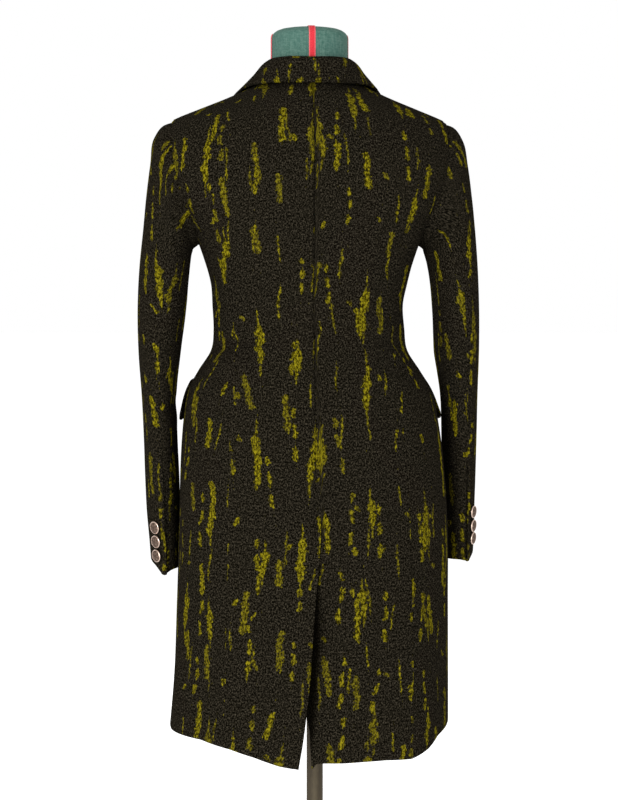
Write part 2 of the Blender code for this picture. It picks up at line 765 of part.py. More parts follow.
def sleeve_surface(side, height, angle):
    """A point and the outward direction on the sleeve's cuff, at a height and an angle."""
    rings, inner = sleeve_rings(side)
    step = angle / 360 * SLEEVE_SIDES
    low = int(step)
    share = step - low
    for k in range(len(rings) - 1, 0, -1):
        here = rings[k][low].lerp(rings[k][low + 1], share)
        above = rings[k - 1][low].lerp(rings[k - 1][low + 1], share)
        if above.z >= height:
            t = (height - here.z) / (above.z - here.z)
            out = here - inner[k][low].lerp(inner[k][low + 1], share)
            return here.lerp(above, t), out.normalized()
    return rings[0][low], Vector((side, 0, 0))


def build_buttons(look):
    """Three metal buttons on each cuff and three that close the front."""
    for word, side in (("left", 1), ("right", -1)):
        for number, height in enumerate(CUFF_BUTTON_HEIGHTS[side], 1):
            place, out = sleeve_surface(side, height, CUFF_BUTTON_ANGLE[side])
            name = "cuff_button_%s_%d" % (word, number)
            profile = button_profile(CUFF_BUTTON_RADIUS)
            turned(name, profile, place + out * (SHANK + BUTTON_ROOM), out, look, 12)
    for number, height in enumerate(FRONT_BUTTON_HEIGHTS, 1):
        out = outward(180, height)
        place = coat(180, height, SHANK + BUTTON_ROOM)
        turned("front_button_%d" % number, button_profile(FRONT_BUTTON_RADIUS), place, out, look, 12)


def form_ring(height):
    """One ring of the dress form: inside the coat below, the neck above."""
    ring_points = []
    room = FORM_ROOM_SHOULDER + FORM_ROOM_CHEST * (1 - soft((height - 1.345) / 0.025))
    room += FORM_ROOM_WAIST * (1 - soft((height - 1.10) / 0.10))
    for k in range(FORM_SIDES):
        turn = 360 * k / FORM_SIDES
        point = ring(turn, height) - outward(turn, height) * (WALL + room)
        point.x -= column(BODY_RINGS, BODY_COLUMNS, "sway", height)
        point.x = max(min(point.x, FORM_SIDE_LIMIT), -FORM_SIDE_LIMIT)
        if height < ARMPIT:
            point.z = height
        ring_points.append(point)
    return ring_points


def neck_ring(height, shrink=1.0):
    """One ring of the form's neck."""
    made = []
    for k in range(FORM_SIDES):
        angle = 2 * math.pi * k / FORM_SIDES
        x = NECK_HALF_WIDTH * shrink * math.sin(angle)
        y = NECK_Y + NECK_HALF_DEPTH * shrink * math.cos(angle)
        made.append(Vector((x, y, height)))
    return made


def build_form(look):
    """The limbless dress form, smooth and whole, with its neck and domed top."""
    rings = [form_ring(height) for height in (*FORM_LEVELS, SHOULDER_TIP, *SHOULDER_ROWS)]
    rings += [neck_ring(NECK_ROOT, 1.06), neck_ring(NECK_FOOT), neck_ring(NECK_TOP)]
    rings += [neck_ring(NECK_TOP + 0.006, 0.90), neck_ring(FORM_TOP - 0.002, 0.66)]
    shape = bmesh.new()
    loops = [[shape.verts.new(point) for point in made] for made in rings]
    for low, high in zip(loops, loops[1:]):
        for k in range(len(low)):
            m = (k + 1) % len(low)
            shape.faces.new((low[k], low[m], high[m], high[k]))
    shape.faces.new(loops[0])
    top = shape.verts.new((0, NECK_Y, FORM_TOP))
    for k in range(len(loops[-1])):
        shape.faces.new((loops[-1][k], loops[-1][(k + 1) % len(loops[-1])], top))
    bmesh.ops.recalc_face_normals(shape, faces=shape.faces)
    mesh = bpy.data.meshes.new("form")
    shape.to_mesh(mesh)
    shape.free()
    finish("form", mesh, look)


def build_tapes(look):
    """Flat tape lines on the neck, at the back and the sides."""
    turns = {"tape_back": 0, "tape_left": SIDE_TAPE_TURN, "tape_right": SIDE_TAPE_TURN + 180}
    for name, centre in turns.items():
        outer = []
        inner = []
        for height in (NECK_FOOT + 0.001, NECK_FOOT + 0.020, NECK_TOP - 0.001):
            out_row = []
            in_row = []
            for k in (-1, 0, 1):
                radius = NECK_HALF_WIDTH if centre else NECK_HALF_DEPTH
                angle = math.radians(centre) + k * TAPE_WIDTH / 2 / radius
                across = Vector((math.sin(angle), math.cos(angle), 0))
                point = Vector((NECK_HALF_WIDTH * across.x, NECK_Y + NECK_HALF_DEPTH * across.y, height))
                out_row.append(point + across * (SEAM + TAPE_THICK))
                in_row.append(point + across * SEAM)
            outer.append(out_row)
            inner.append(in_row)
        cloth_wall(name, outer, inner, look)


def build_stand(wood):
    """The wooden post that carries the form, on a round base."""
    bpy.ops.mesh.primitive_cylinder_add(vertices=20, radius=POST_RADIUS, depth=1.0)
    post = bpy.context.object
    post.name = "post"
    post.scale.z = FORM_BOTTOM - BASE_THICK - 2 * SEAM
    post.location = (POST_X, 0, (FORM_BOTTOM + BASE_THICK) / 2)
    bpy.ops.object.transform_apply(location=False, rotation=False, scale=True)
    bpy.ops.mesh.primitive_cylinder_add(vertices=40, radius=BASE_RADIUS, depth=BASE_THICK)
    base = bpy.context.object
    base.name = "base"
    base.location = (POST_X, 0, BASE_THICK / 2)
    rounding = base.modifiers.new("Rounded edge", "BEVEL")
    rounding.width = 0.004
    rounding.segments = 2
    rounding.limit_method = "ANGLE"
    for piece in (post, base):
        piece.data.materials.append(wood)
        for holder in list(piece.users_collection):
            holder.objects.unlink(piece)
        bpy.data.collections[COAT].objects.link(piece)


def main():
    """Clear the scene and build the coat, the form and the stand."""
    for old in list(bpy.data.objects):
        bpy.data.objects.remove(old, do_unlink=True)
    holder = bpy.data.collections.new(COAT)
    bpy.context.scene.collection.children.link(holder)
    wool = material("wool_cloth", (0.022, 0.021, 0.017), 0.95)
    metal = material("button_metal", (0.72, 0.62, 0.52), 0.30, 1.0)
    cover = material("form_cover", (0.16, 0.36, 0.29), 0.85)
    tape = material("tape_cloth", (0.80, 0.06, 0.07), 0.7)
    wood = material("stand_wood", (0.22, 0.17, 0.13), 0.6)
    build_backs(wool)
    build_sides(wool)
    build_fronts(wool)
    build_lapels(wool)
    build_collar(wool)
    build_sleeves(wool)
    build_flaps(wool)
    build_buttons(metal)
    build_form(cover)
    build_tapes(tape)
    build_stand(wood)


main()
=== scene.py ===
import math

import bmesh
import bpy
import numpy as np
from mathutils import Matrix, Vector


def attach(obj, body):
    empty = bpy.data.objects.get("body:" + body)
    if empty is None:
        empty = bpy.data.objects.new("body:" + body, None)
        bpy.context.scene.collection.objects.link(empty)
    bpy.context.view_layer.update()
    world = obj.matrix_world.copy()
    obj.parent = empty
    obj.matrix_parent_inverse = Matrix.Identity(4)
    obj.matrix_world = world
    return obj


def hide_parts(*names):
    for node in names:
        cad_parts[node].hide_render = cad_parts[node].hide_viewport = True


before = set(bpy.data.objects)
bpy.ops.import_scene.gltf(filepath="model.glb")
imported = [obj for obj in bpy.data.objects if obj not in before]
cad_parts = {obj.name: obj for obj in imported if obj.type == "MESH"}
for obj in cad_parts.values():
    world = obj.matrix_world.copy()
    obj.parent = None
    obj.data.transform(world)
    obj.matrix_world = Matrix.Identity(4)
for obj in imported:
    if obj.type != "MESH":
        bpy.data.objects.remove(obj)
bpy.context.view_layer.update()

# The coat's two back panels. They are cut from a thick brushed wool with woven streaks,
# seamed at the centre back, and below the seam the left one laps over the right as a vent.
# The seams are pressed open and the edges turned under and caught by hand inside.
WALL = 0.0022
LAP = 0.0006
UNDER_ARM = 1.17
ARMPIT = 1.198
SHOULDER_TIP = 1.368
NECKLINE = 1.42
SHOULDER_TURN = 94
VENT_TOP = 0.803
HEM_BLEND = 0.545
# Up to HEM_BLEND the rows of a panel bend from the hem's own line to level ones
HEM_LEVEL = 0.519
HEM_SPAN = 0.026
ARMHOLE_MIDDLE = (SHOULDER_TIP + ARMPIT) / 2
ARMHOLE_HALF_HEIGHT = (SHOULDER_TIP - ARMPIT) / 2
ARMHOLE_HALF_DEPTH = 0.062
# Steps round an armhole or a sleeve
STEPS_ROUND = 16
DEGREES_A_STEP = 360 / STEPS_ROUND
SHARP = math.radians(50)

# height, half width, back, front, roundness, sway
BODY = [
    (0.500, 0.1945, 0.155, 0.157, 2.3, 0.000),
    (0.600, 0.1905, 0.150, 0.151, 2.3, -0.004),
    (0.700, 0.1890, 0.146, 0.145, 2.3, -0.005),
    (0.800, 0.1875, 0.142, 0.138, 2.3, -0.006),
    (0.900, 0.1830, 0.139, 0.132, 2.3, -0.004),
    (0.960, 0.1765, 0.135, 0.128, 2.3, -0.002),
    (0.992, 0.1700, 0.130, 0.124, 2.3, -0.001),
    (1.020, 0.1545, 0.124, 0.118, 2.3, 0.000),
    (1.048, 0.1370, 0.116, 0.112, 2.3, 0.000),
    (1.075, 0.1335, 0.109, 0.109, 2.3, 0.000),
    (1.110, 0.1330, 0.105, 0.110, 2.3, 0.002),
    (1.140, 0.1370, 0.105, 0.115, 2.3, 0.000),
    (1.170, 0.1450, 0.107, 0.121, 2.3, 0.000),
    (1.210, 0.1600, 0.111, 0.127, 2.4, 0.000),
    (1.250, 0.1830, 0.114, 0.128, 2.5, 0.000),
    (1.283, 0.1980, 0.116, 0.123, 2.5, 0.000),
    (1.316, 0.2040, 0.114, 0.112, 2.4, 0.000),
    (1.343, 0.2010, 0.109, 0.095, 2.2, 0.000),
    (1.362, 0.1940, 0.103, 0.082, 2.0, 0.000),
    (1.368, 0.1905, 0.101, 0.078, 1.9, 0.000),
    (1.384, 0.1520, 0.095, 0.068, 1.9, 0.000),
    (1.398, 0.1170, 0.089, 0.060, 1.9, 0.000),
    (1.410, 0.0900, 0.081, 0.055, 2.0, 0.000),
    (1.420, 0.0700, 0.074, 0.052, 2.0, 0.000),
]
HALF_WIDTH, BEHIND, BEFORE, ROUNDNESS, SWAY = range(1, 6)
# Lengthwise flutes: turn, spread, depth, top
FLUTES = [
    (17, 10, 0.0035, 0.80), (52, 13, -0.0040, 0.82), (82, 11, 0.0030, 0.78),
    (-13, 9, -0.0030, 0.76), (-36, 12, 0.0050, 0.84), (-66, 12, -0.0040, 0.80),
    (128, 14, 0.0040, 0.80), (152, 11, -0.0035, 0.76), (-120, 13, 0.0040, 0.82),
    (-150, 12, -0.0030, 0.78),
]
FLUTE_FADE = 0.25
# Drag folds at the waist: turn, height, half length, spread, depth, rise
DRAGS = [
    (52, 1.062, 42, 0.013, -0.0040, 0.00022),
    (-60, 1.066, 30, 0.012, -0.0028, 0.00015),
    (40, 1.024, 30, 0.014, 0.0025, -0.00010),
]
# Creases: first turn and height, last turn and height, bow, width, depth
CREASES = [
    (74, 1.050, 16, 1.066, -0.004, 0.0075, 0.0034),
    (70, 1.078, 30, 1.096, 0.003, 0.0080, 0.0014),
    (66, 1.030, 34, 1.008, 0.004, 0.0110, 0.0016),
    (-70, 1.056, -22, 1.072, -0.004, 0.0080, 0.0020),
    (-66, 1.086, -34, 1.104, 0.003, 0.0080, 0.0012),
    (-62, 1.030, -32, 1.012, 0.003, 0.0110, 0.0014),
    (56, 1.215, 30, 1.150, 0.006, 0.0120, 0.0020),
    (-57, 1.222, -30, 1.150, -0.006, 0.0120, 0.0022),
    (62, 1.262, 36, 1.300, 0.004, 0.0120, 0.0014),
    (-62, 1.262, -38, 1.304, -0.004, 0.0120, 0.0016),
    (8, 1.150, 5, 1.075, 0.002, 0.0120, 0.0010),
    (-10, 1.140, -7, 1.060, -0.002, 0.0130, 0.0010),
    (34, 0.990, 30, 0.905, 0.004, 0.0140, 0.0012),
    (-30, 1.000, -33, 0.900, -0.004, 0.0140, 0.0014),
    (24, 0.780, 21, 0.600, 0.004, 0.0150, 0.0013),
    (-24, 0.760, -27, 0.590, -0.004, 0.0150, 0.0015),
    (112, 1.050, 152, 1.064, 0.004, 0.0080, 0.0026),
    (-112, 1.054, -150, 1.066, -0.004, 0.0080, 0.0022),
    (118, 1.210, 140, 1.150, 0.004, 0.0120, 0.0018),
    (-118, 1.210, -142, 1.152, -0.004, 0.0120, 0.0016),
    (134, 0.960, 128, 0.820, 0.004, 0.0140, 0.0014),
    (-132, 0.960, -128, 0.810, -0.004, 0.0140, 0.0014),
    (160, 0.840, 158, 0.640, 0.004, 0.0150, 0.0012),
    (-163, 0.840, -160, 0.640, -0.004, 0.0150, 0.0012),
]
METRES_A_DEGREE = 0.0026
# height, turn of the seam behind, turn of the seam in front
SIDE_SEAMS = [
    (0.500, 38, 140), (0.800, 38, 139), (0.970, 39, 137),
    (1.048, 49, 130), (1.110, 53, 126), (1.170, 56, 122),
]
# Each seam's column in that table, and the armhole's step at which the seam ends
BACK_SEAM = (1, 5)
FRONT_SEAM = (2, 11)
# turn, height of the hem
HEM = [
    (-180, 0.519), (-120, 0.527), (-80, 0.529), (-62, 0.523), (-50, 0.512), (-38, 0.505),
    (-25, 0.507), (0, 0.505), (1, 0.498), (12, 0.504), (22, 0.514), (34, 0.522),
    (52, 0.528), (90, 0.527), (140, 0.522), (180, 0.519),
]
# height, edge of the panel on top, edge of the panel below it
VENT = [
    (0.498, 0.0290, 0.0030), (0.540, 0.0200, 0.0090), (0.600, 0.0145, 0.0240),
    (0.700, 0.0080, 0.0330), (0.789, 0.0010, 0.0350), (0.803, 0.0000, 0.0000),
]


def between(first, second, slope, next_slope, t, span):
    """A value between two others, on the smooth curve that has these slopes at both."""
    level = first * (2 * t ** 3 - 3 * t ** 2 + 1) + second * (3 * t ** 2 - 2 * t ** 3)
    lean = slope * (t ** 3 - 2 * t ** 2 + t) + next_slope * (t ** 3 - t ** 2)
    return level + lean * span


def curve(table, place, at):
    """A column of a table on a smooth curve through its rows."""
    keys = np.array([row[0] for row in table], dtype=float)
    values = np.array([row[place] for row in table], dtype=float)
    slopes = np.gradient(values, keys)
    slopes[1:-1] = (values[2:] - values[:-2]) / (keys[2:] - keys[:-2])
    at = np.clip(at, keys[0], keys[-1])
    i = np.clip(np.searchsorted(keys, at) - 1, 0, len(keys) - 2)
    span = keys[i + 1] - keys[i]
    return between(values[i], values[i + 1], slopes[i], slopes[i + 1], (at - keys[i]) / span, span)


def straight(table, place, at):
    """The same, on straight lines between the rows."""
    return np.interp(at, [row[0] for row in table], [row[place] for row in table])


def soft(value):
    """0 below 0, 1 above 1, and a smooth step between."""
    t = np.clip(value, 0.0, 1.0)
    return t * t * (3 - 2 * t)


def unit(vectors):
    """The same directions at length 1."""
    return vectors / np.maximum(np.linalg.norm(vectors, axis=-1, keepdims=True), 1e-9)


def bell(off, width):
    """1 at 0, falling smoothly to nothing on either side."""
    return np.exp(-((off / width) ** 2))


def depth_at(y, height):
    """How deep the coat is on the side that this y is on."""
    return np.where(y >= 0, curve(BODY, BEHIND, height), curve(BODY, BEFORE, height))


def ring(turn, height):
    """Points of the coat's plain outside. Turn 0 is the centre back, 90 the wearer's left."""
    turn, height = np.broadcast_arrays(np.asarray(turn, float), np.asarray(height, float))
    half, roundness, sway = (curve(BODY, place, height) for place in (HALF_WIDTH, ROUNDNESS, SWAY))
    across = np.sin(np.radians(turn))
    along = np.cos(np.radians(turn))
    x = half * np.sign(across) * np.abs(across) ** (2 / roundness)
    y = depth_at(along, height) * np.sign(along) * np.abs(along) ** (2 / roundness)
    return np.stack((x + sway, y, height), axis=-1)


def outward(turn, height, side_step=0.5, rise=0.002):
    """The direction straight out of the coat."""
    turn = np.asarray(turn)
    low = np.minimum(height, NECKLINE - rise)
    around = ring(turn + side_step, height) - ring(turn - side_step, height)
    upward = ring(turn, low + rise) - ring(turn, low - rise)
    return unit(np.cross(upward, around))


def crease_depth(x, z, creases):
    """Soft troughs with raised sides along bowed lines, each fading at its ends."""
    total = np.zeros(np.broadcast(x, z).shape)
    for x0, z0, x1, z1, bow, width, depth in creases:
        run, climb = x1 - x0, z1 - z0
        length = math.hypot(run, climb)
        t = ((x - x0) * run + (z - z0) * climb) / length ** 2
        inside = np.clip(t, 0.0, 1.0)
        off = ((z - z0) * run - (x - x0) * climb) / length - bow * 4 * inside * (1 - inside)
        beyond = np.abs(t - inside) * length
        fade = np.sin(np.pi * np.clip(inside * 0.9 + 0.05, 0, 1)) ** 1.3 * bell(beyond, width)
        sides = bell(np.abs(off) - 2.1 * width, 1.1 * width)
        total += depth * fade * (0.5 * sides - bell(off, width))
    return total


def wrapped(turn):
    """The same turn between -180 and 180."""
    return (turn + 180) % 360 - 180


def relief(turn, height):
    """How far flutes, drag folds and creases move the cloth out."""
    turn = wrapped(np.asarray(turn, float))
    total = np.zeros(np.broadcast(turn, height).shape)
    for centre, spread, depth, top in FLUTES:
        total += depth * bell(wrapped(turn - centre), spread) * soft((top - height) / FLUTE_FADE)
    for centre, level, half_length, spread, depth, rise in DRAGS:
        away = wrapped(turn - centre)
        fade = np.where(np.abs(away) < half_length, np.cos(np.pi / 2 * away / half_length) ** 2, 0)
        total += depth * fade * bell(height - level + rise * away, spread)
    creases = [(c[0] * METRES_A_DEGREE, c[1], c[2] * METRES_A_DEGREE, c[3], *c[4:]) for c in CREASES]
    return total + crease_depth(turn * METRES_A_DEGREE, height, creases)


def coat(turn, height, out=0.0):
    """Points of the coat's outside, or of a surface this far out from it."""
    away = np.asarray(out + relief(turn, height))
    return ring(turn, height) + outward(turn, height) * away[..., None]


def armhole(side, step):
    """Turn and height of the armhole. Step 0 is the shoulder tip, 4 the back, 12 the front."""
    angle = 2 * np.pi * np.asarray(step, float) / STEPS_ROUND
    height = ARMHOLE_MIDDLE + ARMHOLE_HALF_HEIGHT * np.cos(angle)
    y = ring(SHOULDER_TURN, SHOULDER_TIP)[1] + ARMHOLE_HALF_DEPTH * np.sin(angle)
    share = np.sign(y) * (np.abs(y) / depth_at(y, height)) ** (curve(BODY, ROUNDNESS, height) / 2)
    return side * np.degrees(np.arccos(share)), height


FINE_PLACES = (0.0, 0.16, 0.36, 0.62)
FINE = len(FINE_PLACES)


def shares(length, pitch, near=0.005):
    """Places from 0 to 1 along a length, with four fine ones at each end."""
    fine = np.array(FINE_PLACES) * near
    count = max(3, round((length - 2 * near) / pitch) + 1)
    middle = np.linspace(near, length - near, count)
    return np.concatenate((fine, middle, length - fine[::-1])) / length


def seam_dip(places, length, depth=0.0006, reach=0.004):
    """How far the cloth dips towards the seams at its first and last place."""
    return -depth * bell(np.minimum(places, 1 - places) * length, reach)


def hem_dip(turn, height, depth=0.0011, reach=0.0022):
    """How far the cloth dips towards the hem, where it is turned under."""
    return -depth * bell(height - straight(HEM, 1, turn), reach)


def cloth(
    node, points, facing, look, thick=WALL, start=(0.0, 0.0), middle=0.5, edge=0.0008,
    grain=1, painted_shade=None,
):
    """A sheet of cloth through rows of points, with a wall behind it and softened cut edges.
    Its map is in metres along the cloth, so that the weave keeps its size everywhere. It starts
    at the column that middle names, is moved by start, and is mirrored where grain is -1."""
    rows, columns = points.shape[:2]
    centre = round(middle * (columns - 1))
    across = np.zeros((rows, columns))
    across[:, 1:] = np.cumsum(np.linalg.norm(np.diff(points, axis=1), axis=2), axis=1)
    across -= across[:, centre:centre + 1]
    across *= grain
    up = np.zeros((rows, columns))
    up[1:] = np.cumsum(np.linalg.norm(np.diff(points, axis=0), axis=2), axis=0)
    up += points[0, :, 2] - points[0, centre, 2] if node.startswith(("back", "side", "front")) else 0
    sense = np.cross(np.gradient(points, axis=1), np.gradient(points, axis=0))
    shape = bmesh.new()
    bmesh.ops.create_grid(shape, x_segments=columns - 1, y_segments=rows - 1, size=0.5)
    if (sense * facing).sum() < 0:
        bmesh.ops.reverse_faces(shape, faces=shape.faces)
    mesh = bpy.data.meshes.new("cloth_" + node)
    shape.to_mesh(mesh)
    shape.free()
    flat = np.empty(len(mesh.vertices) * 3)
    mesh.vertices.foreach_get("co", flat)
    flat = flat.reshape(-1, 3)
    j = np.rint((flat[:, 0] + 0.5) * (columns - 1)).astype(int)
    i = np.rint((flat[:, 1] + 0.5) * (rows - 1)).astype(int)
    mesh.vertices.foreach_set("co", points[i, j].ravel())
    corner = np.empty(len(mesh.loops), dtype=int)
    mesh.loops.foreach_get("vertex_index", corner)
    places = np.stack((across[i, j][corner] + start[0], up[i, j][corner] + start[1]), axis=1)
    mesh.uv_layers.new(name="cloth").data.foreach_set("uv", places.ravel())
    # Painted shade: a value at each point that darkens the wool's colour towards near black.
    if painted_shade is not None:
        mesh.attributes.new("painted_shade", "FLOAT", "POINT").data.foreach_set("value", painted_shade[i, j])
    mesh.shade_smooth()
    mesh.materials.append(look)
    piece = bpy.data.objects.new("cloth_" + node, mesh)
    bpy.context.scene.collection.objects.link(piece)
    wall = piece.modifiers.new("Wall", "SOLIDIFY")
    wall.thickness = thick
    wall.offset = -1
    soften = piece.modifiers.new("Soft edge", "BEVEL")
    soften.width = edge
    soften.segments = 2
    soften.limit_method = "ANGLE"
    soften.angle_limit = SHARP
    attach(piece, "root")
    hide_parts(node)


class Looks:
    """Short calls for a material's nodes."""

    def __init__(self, name):
        self.material = bpy.data.materials.new(name)
        self.material.use_nodes = True
        self.nodes = self.material.node_tree.nodes
        self.shader = self.nodes["Principled BSDF"]

    def plug(self, slot, item):
        """Set a socket to a value or link it to an output."""
        if isinstance(item, (int, float, tuple)):
            slot.default_value = item
        else:
            self.material.node_tree.links.new(item, slot)

    def math(self, kind, *items):
        """A value from one calculation."""
        node = self.nodes.new("ShaderNodeMath")
        node.operation = kind
        for slot, item in zip(node.inputs, items):
            self.plug(slot, item)
        return node.outputs[0]

    def times(self, first, second):
        """One value times another."""
        return self.math("MULTIPLY", first, second)

    def swing(self, value, width):
        """A value from 0 to 1 carried to a range of this width about 0."""
        return self.times(self.math("SUBTRACT", value, 0.5), width)

    def mix(self, share, first, second):
        """A colour between two others."""
        node = self.nodes.new("ShaderNodeMix")
        node.data_type = "RGBA"
        self.plug(node.inputs[0], share)
        self.plug(node.inputs[6], first)
        self.plug(node.inputs[7], second)
        return node.outputs[2]

    def ramp(self, value, low, high, to_low=0.0, to_high=1.0):
        """A value carried from one range to another along a smooth step."""
        node = self.nodes.new("ShaderNodeMapRange")
        node.interpolation_type = "SMOOTHSTEP"
        for slot, item in zip(node.inputs, (value, low, high, to_low, to_high)):
            self.plug(slot, item)
        return node.outputs[0]

    def place(self, x, y, z=0.0):
        """A vector from three values."""
        node = self.nodes.new("ShaderNodeCombineXYZ")
        for slot, item in zip(node.inputs, (x, y, z)):
            self.plug(slot, item)
        return node.outputs[0]

    def noise(self, vector, scale, detail=2.0, roughness=0.5):
        """Smooth noise, its value and its colour."""
        node = self.nodes.new("ShaderNodeTexNoise")
        self.plug(node.inputs["Vector"], vector)
        self.plug(node.inputs["Scale"], scale)
        self.plug(node.inputs["Detail"], detail)
        self.plug(node.inputs["Roughness"], roughness)
        return node.outputs[0], node.outputs[1]

    def chance(self, vector):
        """Three random values for a cell."""
        node = self.nodes.new("ShaderNodeTexWhiteNoise")
        node.noise_dimensions = "3D"
        self.plug(node.inputs[0], vector)
        return self.split(node.outputs["Color"])

    def split(self, colour):
        """The three parts of a colour or a vector."""
        node = self.nodes.new("ShaderNodeSeparateXYZ")
        self.plug(node.inputs[0], colour)
        return node.outputs[0], node.outputs[1], node.outputs[2]

    def on_cloth(self):
        """Metres across and up the cloth."""
        source = self.nodes.new("ShaderNodeUVMap")
        source.uv_map = "cloth"
        return self.split(source.outputs[0])[:2]

    def on_object(self):
        """Metres in the object's own frame."""
        return self.nodes.new("ShaderNodeTexCoord").outputs["Object"]

    def stored(self, name):
        """A value stored at the mesh's points."""
        source = self.nodes.new("ShaderNodeAttribute")
        source.attribute_name = name
        return source.outputs["Fac"]

    def bump(self, height, distance, strength=1.0, under=None):
        """A surface direction bent by a height."""
        node = self.nodes.new("ShaderNodeBump")
        self.plug(node.inputs["Height"], height)
        node.inputs["Distance"].default_value = distance
        node.inputs["Strength"].default_value = strength
        if under is not None:
            self.plug(node.inputs["Normal"], under)
        return node.outputs[0]

    def dress(self, **values):
        """Set the shader's own sockets."""
        for name, item in values.items():
            self.plug(self.shader.inputs[name.replace("_", " ")], item)
        return self.material


